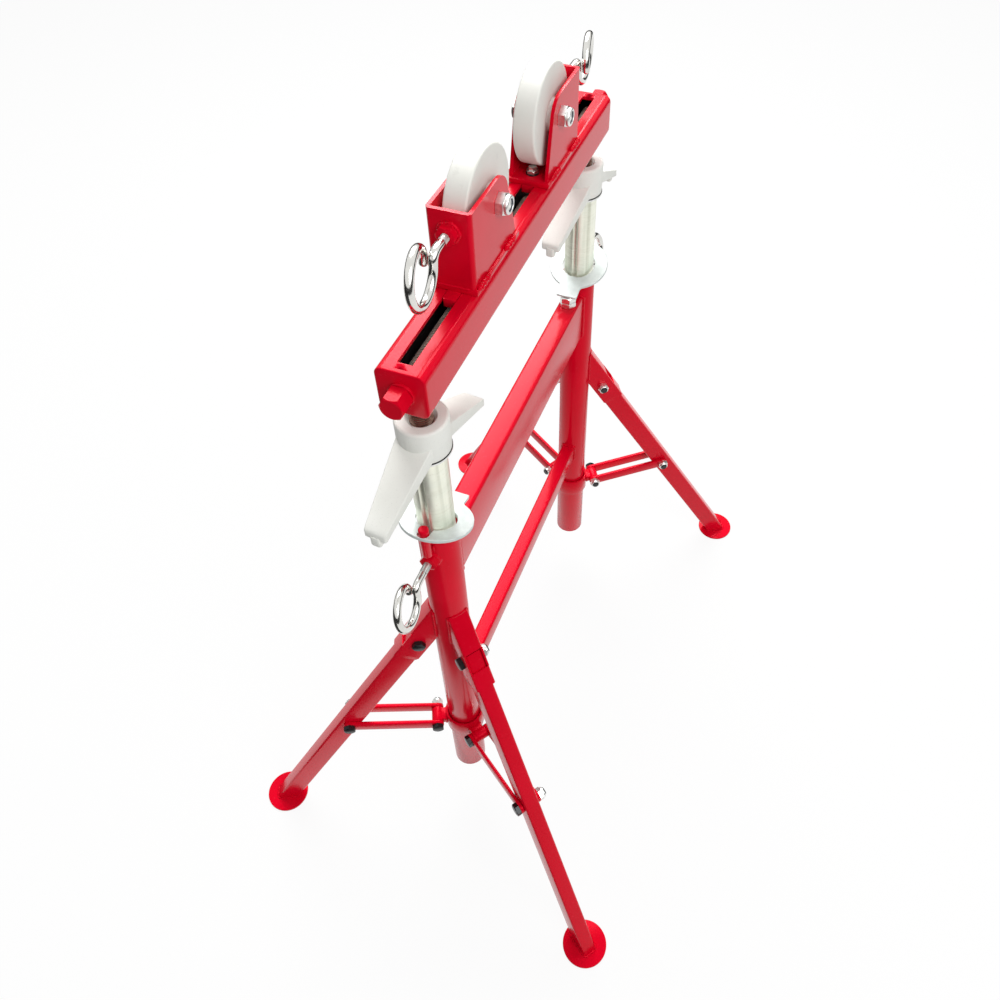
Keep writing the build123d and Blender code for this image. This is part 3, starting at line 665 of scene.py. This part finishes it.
def bolt_pieces(prefix, names, made, finish, body, node, shown=2):
    """Some fasteners as four pieces, heads, nuts, thread ends and rings; the first few of
    these stand for the CAD node."""
    looks = {"head": finish, "nut": zinc, "end": finish, "ring": ring_dark}
    for k, (part, name) in enumerate(zip(looks, names.split())):
        piece(prefix + name, together(*[bolt[part] for bolt in made]), looks[part], body,
              *[node][:k < shown])


def refinish(node, finish):
    """Gives a CAD node's own solid a finish."""
    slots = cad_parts[node].data.materials
    slots.clear()
    slots.append(finish.material)


def at_both_ends(form, *places):
    """The form at each column, as one."""
    return together(*[moved(form, at_end(end), *places) for end in heading])


def at_all_legs(form):
    """The form in each leg's plane, as one."""
    return together(*[moved(form, at_leg(leg)) for leg in legs])


# Base frame
def onto_column(points):
    """Points of a leg's upright plane that lie inside the column moved outwards along X to
    the wall: x is at least the root of the seat's radius squared less y squared."""
    wall = np.sqrt(np.maximum(bracket_seat ** 2 - points[..., 1] ** 2, 0))
    points = points.copy()
    points[..., 0] = np.maximum(points[..., 0], wall)
    return points


def crossbar(width, height, top, corner):
    """A box section between the columns; each line of it ends in the columns' walls, at
    x = place - root of (radius squared - y squared)."""
    outline = oblong(width, height, corner, 6)
    reach = column_place - np.sqrt(bar_seat ** 2 - outline[:, 0] ** 2)
    share = np.array([-1, -0.96, -0.6, -0.2, 0.2, 0.6, 0.96, 1])[:, None]
    return skin(upright(outline, share * reach, top - height / 2))


def bar_welds(width, height, top, corner, size):
    """Beads round a crossbar's ends: its outline a little larger, laid on the column."""
    outline = looped(oblong(width + 1.6, height + 1.6, corner, 8))
    reach = column_place - np.sqrt((column_radius + 0.5) ** 2 - outline[:, 0] ** 2)
    return together(*[bead(upright(outline, side * reach, top - height / 2), X, size)
                      for side in (-1, 1)])


column = pipe(column_radius, column_bore, column_bottom, column_top, 0.6)
for end in heading:
    piece(f"column_{end}_tube", moved(column, at_end(end)), red, "base", f"column_{end}")
for which, (*box, corner, weld) in crossbars.items():
    piece(f"{which}_crossbar_box", crossbar(*box, corner), red, "base", f"{which}_crossbar")
piece("crossbar_welds", together(*[bar_welds(*box, corner + 0.7, weld)
                                   for *box, corner, weld in crossbars.values()]), red, "base")

web, back, half, sheet = 18.3, -15.8, bracket_width / 2, 2.5
bracket_ends, window_ends = (-40, 78.5), (-12.3, 17.5)
channel = softened([(back, half), (web, half), (web, -half), (back, -half), (back, sheet - half),
                    (web - sheet, sheet - half), (web - sheet, half - sheet), (back, half - sheet)],
                   (0.5, 3, 3, 0.5, 0.5, 0.7, 0.7, 0.5), 5)


def bracket_part(outline, low, high):
    """A section of the bracket carried along the leg and cut back to the column's wall; its
    lowest 3 mm draw in over a quarter of a circle."""
    s = np.linspace(low, high, max(2, int((high - low) / 3)))[:, None]
    toe = np.clip(3 - (s - bracket_ends[0]), 0, 3)
    x = np.maximum(outline[:, 0], back + 3 - np.sqrt(9 - toe ** 2))
    points, faces = moved(skin(grid(x, outline[:, 1], s)), along_leg)
    return onto_column(points), faces


def leg_bracket():
    """The channel that a leg hangs in: two full stretches, and two cheeks beside the window."""
    cheek = [rounded((back, y), (web, y + sheet), 0.5, 3) for y in (-half, half - sheet)]
    return together(bracket_part(channel, window_ends[1], bracket_ends[1]),
                    bracket_part(channel, bracket_ends[0], window_ends[0]),
                    *[bracket_part(side, *window_ends) for side in cheek])


def bracket_welds():
    """Beads where the cheeks meet the column, and one over the web's upper edge."""
    out, low, high = column_radius + 0.2, 496, 556
    x = sqrt(out ** 2 - half ** 2) + 0.5
    forms = [bead([(x, y * 1.03, low), (x, y * 1.03, high)], X, 1.7) for y in (-half, half)]
    angle = np.radians(np.linspace(-33, 33, 12))
    over = level(around(out, angle), high + 2.4 - 3.5 * (1 - np.cos(3 * angle)))
    return together(*forms, bead(over, Z, 1.8))


piece("leg_bracket_channels", at_all_legs(leg_bracket()), red, "base", "leg_brackets")
piece("leg_bracket_welds", at_all_legs(bracket_welds()), red, "base")


def weld_skirt(radius, height, size):
    """A bead round a nut's foot, wavering in and out by a few tenths."""
    angle = np.linspace(0, 2 * pi, 60)
    reach = radius + 0.4 * np.sin(5 * angle) + 0.3 * np.sin(3 * angle + 1)
    return bead(level(around(reach, angle), height), Z, size)


def clamp_nut():
    """The painted nut on the column, and its skirt of weld laid on the column's curve."""
    nut = moved(hexagon(painted_nut, 12, bore=rod_radius + 0.2), shift(column_radius - 3), along_x)
    points, faces = weld_skirt(nut_skirt, 0, 1.9)
    x = np.sqrt(np.maximum((column_radius + 0.4) ** 2 - points[:, 1] ** 2, 0))
    skirt = grid(x + points[:, 2], points[:, 1], points[:, 0])
    return moved(together(nut, (skirt, faces)), shift(0, 0, clamp_height))


tilt = radians(plate_tilt)
pin_bottom = 700
pin_top = plate_height + (pin_place + pin_radius) * tan(tilt) + 8
pin = turned(stub(pin_radius, pin_bottom, pin_top, (0.1, 2.2), 6), 40)
pin_weld = np.array([(column_radius + 0.8, 5.6, pin_bottom + rise) for rise in (2, 11)])
pin_welds = together(*[bead(pin_weld * (1, side, 1), X, 1.6) for side in (-1, 1)])
piece("clamp_weld_nut_pair", at_both_ends(clamp_nut()), red, "base", "clamp_weld_nuts")
piece("guide_pin_pair", at_both_ends(pin, shift(pin_place)), red, "base", "guide_pins")
piece("guide_pin_welds", at_both_ends(pin_welds), red, "base")

under = plate_height - plate_reach * tan(tilt) - plate_half / cos(tilt) - 0.3
stop_head = hexagon(stop_flats, under - stop_height, chamfer=1.2)
stop_nut = hexagon(stop_flats, 9, both=True)
piece("stop_locknuts", at_both_ends(stop_nut, shift(-stop_place, 0, bar_top)), zinc, "base",
      "plate_stop_bolts")
piece("stop_bolt_heads", at_both_ends(stop_head, shift(-stop_place, 0, stop_height)), zinc, "base",
      "plate_stop_bolts")
bolt_pieces("leg_pivot_", "heads nuts ends rings",
            [fastener(grip=bracket_width, place=at_leg(leg) @ along_leg @ across(leg), **m10)
             for leg in legs], black, "base", "leg_pivot_bolts", 3)


# Legs, links and collars
def leg_cut(outline, height):
    """How far along the leg its lines come to a height over the floor, as
    s = (height - pivot height - x sin a) / cos a."""
    a = radians(leg_angle)
    return (height - pivot_height - outline[:, 0] * sin(a)) / cos(a)


def leg_tube():
    """A box section along the leg, open above; below each of its lines runs down to the
    foot's top."""
    outline = oblong(leg_depth, leg_width, 3.2, 6)
    hollow = oblong(leg_depth - 4, leg_width - 4, 1.2, 6)
    foot_s = leg_cut(outline, foot_thickness)
    low, rim, floor = -280, 0.4, -6
    levels = [(outline, foot_s), (outline, foot_s + 8), (outline, low), (outline, leg_top - rim),
              (inset(outline, rim), leg_top), (hollow, leg_top), (hollow, floor)]
    return moved(skin([level(*row) for row in levels]), along_leg)


def leg_foot_weld():
    """A bead round the leg's slanted mark on its foot."""
    outline = looped(oblong(leg_depth + 1, leg_width + 1, 4, 8))
    points, faces = moved((level(outline, leg_cut(outline, foot_thickness + 0.4)), []), along_leg)
    return bead(points, Z, 1.7)


foot_disc = turned(stub(foot_radius, 0, foot_thickness, (0.8, 0.8), 4), 96)

lug_run = link_bolt_radius - lug_place
lug_rise = link_bolt_height - lug_height
link_length = hypot(lug_run, lug_rise)
link_slope = degrees(atan2(lug_rise, lug_run))
link_place = shift(lug_place, 0, lug_height) @ turn("y", -link_slope) @ along_y
arc = np.radians(np.linspace(-90, 90, 14))
strap_outline = np.vstack([around(9, arc, (link_length, 0)), -around(9, arc)])

for leg in legs:
    at, body = at_leg(leg), f"leg_{leg}_body"
    piece(f"leg_{leg}_tube", moved(leg_tube(), at), red, body, f"leg_{leg}")
    piece(f"foot_{leg}_disc", moved(foot_disc, at, shift(foot_circle)), red, body, f"foot_{leg}")
    piece(f"foot_{leg}_weld", moved(leg_foot_weld(), at), red, body)
    straps = [moved(slab(strap_outline, -2.5, 2.5, 0.6), at, shift(0, way * strap_place),
                    link_place) for way in (-1, 1)]
    body = f"link_{leg}_body"
    piece(f"link_{leg}_straps", together(*straps), red, body, f"link_{leg}")
    bolt_pieces(f"link_bolt_{leg}_", "head nut end ring", [fastener(
        grip=grip_links, place=at @ shift(link_bolt_radius, 0, link_bolt_height) @ across(leg),
        **m10)], black, body, f"link_bolt_{leg}")


def own_legs(end):
    """The legs that hang on one column."""
    return [leg for leg in legs if legs[leg][0] == end]


def collar(end):
    """A ring on the column with a barrel towards each leg: the barrel is a turned pin with
    rounded rims, and its web a slab from the ring to the barrel."""
    ring = pipe(collar_radius, column_radius + 0.4, collar_bottom, collar_top, 1.5)
    forms = [moved(ring, at_end(end))]
    barrel = rounded((0.01, -11), (9, 11), (0.005, 1, 1, 0.005), 4)
    weld = np.array([(28.6, -9.6, -6.8), (28.0, -9.9, 0), (28.6, -9.6, 6.8)])
    for leg in own_legs(end):
        at = at_leg(leg) @ shift(0, 0, lug_height)
        forms += [moved(turned(barrel, 48, caps=open_ends), at, shift(lug_place), along_y),
                  moved(slab(oblong(24, 18.8, 1.2), -6.5, 6.5, 1.0), at, shift(30))]
        forms += [moved(bead(weld * (1, way, 1), X, 1.5), at) for way in (-1, 1)]
    return together(*forms)


for end in heading:
    body = f"collar_{end}_body"
    piece(f"collar_{end}_ring", collar(end), red, body, f"collar_{end}")
    bolt_pieces(f"collar_{end}_", "bolt_heads nuts bolt_ends nut_rings", [fastener(
        grip=grip_links, place=at_leg(leg) @ shift(lug_place, 0, lug_height) @ across(leg), **m10)
        for leg in own_legs(end)], black, body, f"collar_bolts_{end}")


# Lifting gear
def grooved_tube():
    """The sliding tube. Its outer radius at an angle off a groove's middle is where a ray
    meets the groove's circle, c cos a - root of (g squared - (c sin a) squared), or else
    the tube's own radius."""
    fine = np.radians(np.linspace(-12, 12, 25))
    coarse = np.radians(np.linspace(13.5, 166.5, 40))
    angle = np.concatenate([fine, coarse, fine + pi, coarse + pi])
    off = np.minimum(np.abs(angle), np.abs(angle - pi))
    groove, bite = 5.0, 2.2
    centre = tube_radius + groove - bite
    room = groove ** 2 - (centre * np.sin(off)) ** 2
    cut = np.where((room > 0) & (off < 0.5), centre * np.cos(off) - np.sqrt(np.maximum(room, 0)),
                   tube_radius)
    outer = np.minimum(tube_radius, cut)
    rim = 0.4
    levels = [(tube_bore, tube_bottom), (outer - rim, tube_bottom), (outer, tube_bottom + rim),
              *[(outer, z) for z in (500, 680, 780)],
              (outer, tube_top - rim), (outer - rim, tube_top), (tube_bore, tube_top)]
    return skin(rounds(levels, angle), ring=True)


def wing():
    """One drooping wing: a rounded oblong section drawn out from the hub; its width, depth
    and top fall evenly, and its tip closes over a small round."""
    root_width, root_depth, root_top, length = 45, 21, 883.6, 107
    tip = [101.6, 103.2, 104.2, 104.6]
    x = np.concatenate([[4], np.linspace(20, tip[0], 22), tip[1:]])
    share = x / length
    close = np.interp(x, tip, [0, 0.4, 1.1, 2.0])
    width = root_width - 20.5 * share - 2 * close
    deep = root_depth - 11 * share - 2 * close
    top = root_top - 57 * share - close
    corner = np.minimum(np.interp(share, [0, 1], [1.6, 1.3]), deep * 0.45)
    return skin([upright(oblong(w, d, c, 7), out, z - d / 2)
                 for out, w, d, c, z in zip(x, width, deep, corner, top)])


def wing_peg():
    """The blunt nib under a wing's tip."""
    length, width, place, height = 9.5, 12, 101.4, 816.5
    return moved(slab(oblong(length, width, 3.2, 6), -7, 6, 1.6), shift(place, 0, height))


def wing_nut():
    """The hub's profile turned, with a dished top, and two wings set half a turn apart."""
    bore, mouth, bulge = 12.5, 16.2, 872
    dish = softened([(bore, hub_bottom), (hub_radius - 0.8, hub_bottom), (hub_radius, bulge),
                     (hub_radius, hub_top), (mouth, hub_top), (bore, hub_top - 4.8)],
                    (0.3, 1.2, 20, 3.6, 1.6, 0.6), 7)
    arm = together(wing(), wing_peg())
    return together(turned(dish, 96, ring=True), *[moved(arm, turn("z", way)) for way in (0, 180)])


def lock_plate():
    """The tilted plate as a band between two loops at the same angles: outside the disc with
    its tab, inside the bore and the notch for the pin, at the larger of the two radii
    c cos a + root of (n squared - (c sin a) squared) or n / sin a, and the bore's."""
    shrink = cos(tilt)  # a level length over the same length along the plate
    disc, tab, reach, fillet, corner = 42.25, 15.0, plate_reach / shrink, 6, 2
    bore, bore_shift = 23.7, 0.3 / shrink
    notch, notch_centre = 6.8, 30.95 / shrink + 2
    join = degrees(np.arcsin(tab / disc)) + 6
    special = [0, 3, 6, 9, 11.2, 13, 15, 16.4, 17.2]
    angle = np.radians(np.concatenate([special, np.linspace(19, 180 - join, 56)]))
    rim = around(disc, angle)
    neck_centre = (-sqrt((disc + fillet) ** 2 - (tab + fillet) ** 2), tab + fillet)
    start = degrees(atan2(-neck_centre[1], -neck_centre[0]))
    neck = around(fillet, np.radians(np.linspace(start, -90, 8)), neck_centre)
    rim = rim[rim[:, 0] > neck[0, 0] - 0.01]
    tip = around(corner, np.radians(np.linspace(90, 180, 6)), (corner - reach, tab - corner))
    upper = np.vstack([rim, neck, tip])
    outer = np.vstack([upper, (upper * (1, -1))[::-1][:-1]])
    way = np.arctan2(outer[:, 1], outer[:, 0])
    hole = np.sqrt(bore ** 2 - (bore_shift * np.sin(way)) ** 2) - bore_shift * np.cos(way)
    room = np.maximum(notch ** 2 - (notch_centre * np.sin(way)) ** 2, 0)
    end = notch_centre * np.cos(way) + np.sqrt(room)
    flank = notch / np.maximum(np.abs(np.sin(way)), 1e-6)
    slot = np.where(np.abs(way) < radians(11.3), end, np.minimum(flank, 42))
    ahead = np.abs(way) < radians(16.8)
    inner = around(np.maximum(hole, np.where(ahead, slot, 0)), way)
    high = plate_half
    levels = [(inner, -high), (outer + unit(-outer) * 0.5, -high), (outer, 0.6 - high),
              (outer, high - 0.5), (outer + unit(-outer) * 0.4, high), (inner * 1.012, high),
              (inner, high - 0.3)]
    return moved(skin([level(*row) for row in levels], ring=True),
                 shift(0, 0, plate_height), turn("y", -plate_tilt))


def eye_bolt(radius, shank, turned_by, bright_from):
    """An eye bolt along X from its tip at -X: rod, bend and one wound turn as one path.

    In the turn, at the angle a, the rod stands r (1 - cos a) out from where it starts,
    skewed off the shank's plane, r sin a below it, and a share of its lead aside."""
    drop, lead = 8.5, 10
    neck = radius + drop
    straight = np.column_stack([np.linspace(-shank + bright_from, -neck, 10), np.zeros((10, 2))])
    bend = np.radians(np.linspace(0, 90, 9))[1:]
    bend = np.column_stack([-neck + drop * np.sin(bend), 0 * bend, -drop + drop * np.cos(bend)])
    angle = np.radians(np.linspace(0, 371, 75))[1:]
    out = radius * (1 - np.cos(angle))
    skew = radians(8)
    loop = np.column_stack([out * cos(skew) - radius, out * sin(skew) - lead * angle / (2 * pi),
                            -drop - radius * np.sin(angle)])
    path, at = paced(np.vstack([straight, bend, loop]), 2.0)
    thick = np.interp(at[-1] - at, [0, 0.4, 1.4], [0.72, 0.9, 1]) * rod_radius
    rod = swept(around(1.0, full_turn(28))[None] * thick[:, None, None], path, (0, 1, 0))
    threads = moved(screwed(rod_radius, 1.5, 0, bright_from, 0.5), shift(-shank), along_x)
    return moved(rod, turn("x", turned_by)), threads


def eye_pieces(which, end, at, shank, turned_by=0):
    """An eye bolt's rod and thread, laid at a place, as pieces."""
    body = f"{which}_{end}"
    rod, threads = eye_bolt(eye_radius[which], shank, turned_by, eye_thread[which])
    piece(f"{which}_eye_{end}_rod", moved(rod, at), chrome, body, f"{which}_eye_{end}")
    piece(f"{which}_eye_{end}_thread", moved(threads, at), zinc, body)


for end in heading:
    place = at_end(end)
    body = f"lift_{end}"
    piece(f"lift_tube_{end}_plated", moved(grooved_tube(), place), tube_zinc, body,
          f"lift_tube_{end}")
    washer = pipe(washer_radius, washer_bore, tube_top, washer_top, 0.5)
    piece(f"thrust_washer_{end}_ring", moved(washer, place), zinc, body, f"thrust_washer_{end}")
    # Two thin near-black rings of painted shade: the washer's shadow on the tube and the gap under
    # the hub
    piece(f"lift_{end}_painted_shade_lines", together(*[moved(form, place) for form in (
        pipe(tube_radius + 0.25, tube_radius - 1, tube_top - 0.9, tube_top, 0.1),
        pipe(washer_radius + 0.05, 20, washer_top - 0.2, washer_top + 0.3, 0.1))]), scale, body)
    piece(f"wing_nut_{end}_casting", moved(wing_nut(), place, turn("z", -4.5)), cast,
          f"wing_{end}", f"wing_nut_{end}", edge=40)
    piece(f"lock_plate_{end}_plated", moved(lock_plate(), place), plate_zinc, f"plate_{end}",
          f"lock_plate_{end}", edge=28)
    eye_pieces("clamp", end, place @ shift(clamp_place, 0, clamp_height),
               clamp_place - tube_radius - 0.4, clamp_turn[end])

lift_thread = screwed(screw_radius, 3.0, beam_bottom - lift_screw_length, beam_bottom - 5, 0.42,
                      starts=2)
boss = rounded((screw_radius - 2, beam_bottom - 6), (17, beam_bottom), (0.5, 1.4, 0.2, 0.2), 5)
piece("lift_screw_threads", at_both_ends(lift_thread), greased, "head", "lift_screws")
piece("lift_screw_bosses", at_both_ends(turned(boss, 64, ring=True)), red, "head", "lift_screws")


# Beam and lead screw
def beam_tube():
    """A square section along X, open on top between the ends of the slot: there the lips
    stand apart by the slot's width, and beyond they close on the middle line."""
    h, w, lip = beam_size / 2, beam_size / 2 - beam_wall, slot_half
    outline = softened([(lip, h), (h, h), (h, -h), (-h, -h), (-h, h), (-lip, h), (-lip, w), (-w, w),
                        (-w, -w), (w, -w), (w, w), (lip, w)],
                       (0.35, *[beam_corner] * 4, 0.35, 0.35, 3, 3, 3, 3, 0.35), 8, 0.1)
    shut = outline.copy()
    lips = (np.abs(outline[:, 0]) < lip + 0.4) & (outline[:, 1] > w - 1)
    shut[lips, 0] = 0.0
    shut[lips, 1] = np.where(outline[lips, 1] > h - 2, h, w)
    levels = [(-cap_place, shut), (-slot_half_length, shut), (-slot_half_length, outline),
              *[(x, outline) for x in np.linspace(-240, 240, 9)],
              (slot_half_length, outline), (slot_half_length, shut), (cap_place, shut)]
    return skin([upright(points, x, beam_axis) for x, points in levels])


def beam_lining():
    """The beam's unpainted inside, near-black as painted shade: a thin C along X that lies on the
    inner walls.
    """
    w, lip, thick = beam_size / 2 - beam_wall - 0.05, slot_half + 0.5, 0.3
    v = w - thick
    outline = softened([(lip, w), (w, w), (w, -w), (-w, -w), (-w, w), (-lip, w), (-lip, v), (-v, v),
                        (-v, -v), (v, -v), (v, v), (lip, v)],
                       (0.05, 3, 3, 3, 3, 0.05, 0.05, 2.8, 2.8, 2.8, 2.8, 0.05), 5)
    return skin([upright(outline, x, beam_axis) for x in (2 - cap_place, -90, 90, cap_place - 2)])


def end_plate(end):
    """The beam's end plate with a softened rim, and the turned boss round the screw."""
    outline = oblong(beam_size, beam_size, beam_corner, 8, 0.2)
    flank, rim = 3.4, 1.6
    share = np.linspace(0, 1, 5)
    draw = rim * (1 - np.sqrt(1 - share ** 2))
    levels = [(0, 0.0), *zip(flank + rim * share, draw)]
    round_boss = rounded((10.2, 4), (13.6, 7.4), (0.2, 0.2, 1.0, 0.3), 5)
    form = together(skin([level(inset(outline, d), z) for z, d in levels]),
                    turned(round_boss, 64, ring=True))
    return moved(form, at_beam_end(end), shift(cap_place, 0, beam_axis), along_x)


piece("beam_box_tube", beam_tube(), red, "head", "beam_tube", edge=38)
# The beam's bare inside, painted near-black as the shade within the beam.
piece("beam_inside_scale_and_painted_shade", beam_lining(), scale, "head")
piece("beam_end_caps", together(*[end_plate(end) for end in heading]), red, "head",
      "beam_end_plates")
refinish("screw_bushes", red)

screw, drives, necks = [], [], []
for end, hand in (("near", 1), ("far", -1)):
    at = at_beam_end(end) @ shift(0, 0, beam_axis) @ along_x
    seat = beam_half + 2.8 + drive_stand[end]
    screw.append(moved(screwed(lead_radius, 4, 6, lead_half, 0.42, hand, 2), at))
    drives.append(moved(hexagon(drive_flats, drive_height, chamfer=1.1), at, shift(0, 0, seat)))
    neck = rounded((0.01, 270), (9.95, seat + 1), (0.005, 0.1, 0.1, 0.005), 3)
    necks.append(moved(turned(neck, 48, caps=open_ends), at))
screw.append(moved(rod_between(lead_root, lead_half, 48), shift(0, 0, beam_axis), along_x))
piece("lead_screw_threads", together(*screw), thread, "lead_screw_body", "lead_screw")
piece("lead_screw_hexagons", together(*drives), red, "lead_screw_body", "lead_screw")
piece("lead_screw_journals", together(*necks), thread, "lead_screw_body", "lead_screw")


# Carriages
def carriage_bracket():
    """A sheet bent to a U and carried upwards. The cheeks' front ends follow a sloped line
    and, above it, the ear's arc: x = centre - root of (r squared - (z - centre) squared)."""
    front, front_top, ear = 48.5, 71.0, 24.5
    lean = (front_top - front) / (carriage_top - base_top)
    grade = sqrt(1 + lean ** 2)
    mid_z = carriage_top - ear
    mid_x = front + lean * (mid_z - base_top) + ear * grade
    meet = mid_z + ear * lean / grade
    angle = np.linspace(np.arcsin((meet - mid_z) / ear), pi / 2 - 0.02, 12)
    z = np.concatenate([np.linspace(base_top, meet, 8)[:-1], mid_z + ear * np.sin(angle)])
    x_front = np.where(z < meet, front + lean * (z - base_top),
                       mid_x - np.sqrt(np.maximum(ear ** 2 - (z - mid_z) ** 2, 0)))
    y, x = carriage_half, carriage_rear
    v, u = y - carriage_sheet, x - carriage_sheet
    outline = softened([(0, y), (x, y), (x, -y), (0, -y), (0, -v), (u, -v), (u, v), (0, v)],
                       (0.4, 4.5, 4.5, 0.4, 0.4, 1, 1, 0.4), 7, 0.1)
    x = np.where(outline[:, 0] < 10, outline[:, 0] + x_front[:, None], outline[:, 0])
    return skin(grid(x, outline[:, 1], z[:, None]))


def carriage_base():
    """The foot plate with a chamfered rim, and the tongue that fills the slot below it."""
    length, width, middle, front = 110.3, 51, 100.35, 45.2
    outline = oblong(length, width, 1.0, 3) + (middle, 0)
    tongue = rounded((front, -7.1), (169, 7.1), (0.5, 2.5, 2.5, 0.5), 6)
    return together(slab(outline, base_bottom, base_top, 0.8),
                    slab(tongue, beam_axis + 17, base_bottom + 0.5, 0.5))


def carriage_welds():
    """Stitches where the bracket stands on its foot plate, two along each cheek and a run
    across the back."""
    z, side = base_top - 0.5, 24.8
    forms = [bead([(start, y, z), (stop, y, z)], Z, 3.4, 3.8)
             for y in (-side, side) for start, stop in ((55, 84), (122, 153))]
    x, z = carriage_rear + 0.2, base_top + 0.3
    return together(*forms, bead([(x, -17, z), (x, 17, z)], Z, 1.2))


def brake_nut():
    """The painted nut on the bracket's back and its skirt of weld."""
    return moved(together(hexagon(painted_nut, 9, bore=rod_radius + 0.2),
                          weld_skirt(nut_skirt, 0.3, 2.0), weld_skirt(nut_skirt - 2, 1.8, 1.5)),
                 shift(carriage_rear, 0, brake_height), along_x)


def wheel():
    """A solid wheel: tread and faces in one turned profile, and a raised boss round the
    axle."""
    side = [(9.2, 18.6), (16.9, 18.6), (17.6, 12.4), (40, 12.3), (wheel_radius, 12.5)]
    radii = [0.4, 1.5, 1.2, 8, 2.5]
    lower = [(r, -z) for r, z in side[::-1]]
    profile = softened(side + lower, radii + radii[::-1], 7)
    return turned(profile, 144, ring=True)


base_screw_place, base_screw, base_washer = 27.7, hexagon(9, 7), pipe(7.6, 3, 0, 1.8, 0.3, 40)
for end in heading:
    place, body = at_beam_end(end), f"carriage_{end}"
    at_axle = place @ shift(axle_place, 0, axle_height)
    piece(f"carriage_{end}_sheet", moved(carriage_bracket(), place), red, body,
          f"carriage_bracket_{end}", edge=30, bevel=0.5)
    piece(f"carriage_{end}_foot", moved(carriage_base(), place), red, body,
          f"carriage_base_{end}")
    piece(f"carriage_{end}_welds", moved(carriage_welds(), place), red, body)
    piece(f"carriage_{end}_weld_nut", moved(brake_nut(), place), red, body,
          f"brake_weld_nut_{end}")
    spots = [place @ shift(axle_place + way * base_screw_place, 0, base_top) for way in (-1, 1)]
    piece(f"carriage_{end}_base_screws", together(*[
        moved(base_screw, at, shift(0, 0, 1.6)) for at in spots]), zinc, body)
    piece(f"carriage_{end}_base_washers", together(*[
        moved(base_washer, at) for at in spots]), black, body)
    refinish(f"lead_nut_{end}", steel)
    refinish(f"wheel_bush_{end}", steel)
    axle = fastener(grip=2 * carriage_half, stand=-1.6,
                    place=at_axle @ turn("x", -90 if end == "near" else 90), **m12)
    shank = rod_between(m12["radius"], carriage_half, 40)
    axle["head"] = together(axle["head"], moved(shank, at_axle, along_y))
    bolt_pieces(f"axle_{end}_", "head nut thread nut_ring", [axle], zinc, body,
                f"axle_bolt_{end}")
    piece(f"wheel_{end}_solid", moved(wheel(), at_axle, along_y), coat, f"roller_{end}",
          f"wheel_{end}")
    reach = sqrt(wheel_radius ** 2 - (brake_height - axle_height) ** 2)
    eye_pieces("brake", end, place @ shift(brake_place[end], 0, brake_height),
               brake_place[end] - axle_place - reach - brake_gap[end])


# Studio: a white floor, white surroundings, two broad lamps and the photograph's view
def flat(x, y, z):
    """A level sheet on a grid of lines at these x and y."""
    return skin(grid(np.asarray(x, float)[:, None], np.asarray(y, float), z), closed=False,
                caps=open_ends)


def studio_floor():
    """A flat grid well past the view; white to the camera, with the stand's soft shadow."""
    f = Finish("studio_floor", "red_paint")
    seen = (f.node("LightPath") + f.node("LightPath", output=3)
            + f.node("LightPath", output=6)) > 0.5
    glow = f.node("Emission", {"Color": (1, 1, 1, 1), "Strength": 1.02})
    f.set(Base_Color=(0.55, 0.55, 0.55, 1), Roughness=0.9)
    plain = Tone(f.shader.outputs[0])
    shown = f.node("MixShader", {0: seen * 0.9, 1: plain, 2: glow})
    f.tree.links.new(shown.socket, f.tree.nodes["Material Output"].inputs["Surface"])
    lines = np.linspace(-9000, 9000, 7)
    new_object("studio_floor", flat(lines, lines, -0.4), f)


def studio_card(name, form):
    """A dark card that only gloss sees, so that paint and plating get the dark side they
    have in a real room."""
    f = Finish(name, "black_steel").set(Base_Color=(0.02, 0.02, 0.02, 1), Roughness=0.9)
    card = new_object(name, form, f)
    card.visible_camera = card.visible_diffuse = card.visible_shadow = False


def lamp(name, at, size, power):
    """A square soft lamp that looks at the stand's middle."""
    light = bpy.data.lights.new(name, "AREA")
    light.size, light.energy = size, power
    made = bpy.data.objects.new(name, light)
    made.location = at
    made.rotation_euler = (Vector((0, 0, 0.6)) - Vector(at)).to_track_quat("-Z", "Y").to_euler()
    scene.collection.objects.link(made)


def surroundings():
    """The world: white to the camera, to gloss and through glass, softer as light."""
    world = bpy.data.worlds.new("white_room")
    scene.world = world
    world.use_nodes = True
    tree = world.node_tree
    shade = tree.nodes["Background"]
    path = tree.nodes.new("ShaderNodeLightPath")
    seen = Tone(path.outputs["Is Camera Ray"]) + Tone(path.outputs["Is Transmission Ray"])
    seen = seen + Tone(path.outputs["Is Glossy Ray"])
    shade.inputs["Color"].default_value = (1, 1, 1, 1)
    feed(tree, shade.inputs["Strength"], 0.36 + (seen > 0.5) * 0.64)


def photograph_view():
    """The photograph's camera: its place, the way that it looks, its roll about that way and
    its shifted frame."""
    camera = bpy.data.cameras.new("photograph_view")
    camera.lens, camera.sensor_width = 31.61, 36.0
    camera.shift_x, camera.shift_y = -0.02288, -0.05328
    place, roll = (-0.76685, -0.31552, 1.50971), -0.02495
    ahead = Vector((0.61953, 0.25069, -0.74387)).normalized()
    right = ahead.cross(Vector(Z)).normalized()
    up = right.cross(ahead)
    axes = (right * cos(roll) + up * sin(roll), up * cos(roll) - right * sin(roll), -ahead)
    view = bpy.data.objects.new("photograph_view", camera)
    view.matrix_world = Matrix.Translation(place) @ Matrix(axes).transposed().to_4x4()
    scene.collection.objects.link(view)
    scene.camera = view


studio_floor()
studio_card("card_all_round", turned([(3800, 1), (3800, 1500)], 48, caps=open_ends))
studio_card("card_on_the_floor", flat((-4500, -490), (-250, 3800), 2))
surroundings()
lamp("over_lamp", (1.8, 0.75, 3.2), 2.2, 155)
lamp("key_lamp", (-1.5, -2.3, 3.0), 2.2, 74)
photograph_view()
scene.view_settings.view_transform = "Standard"
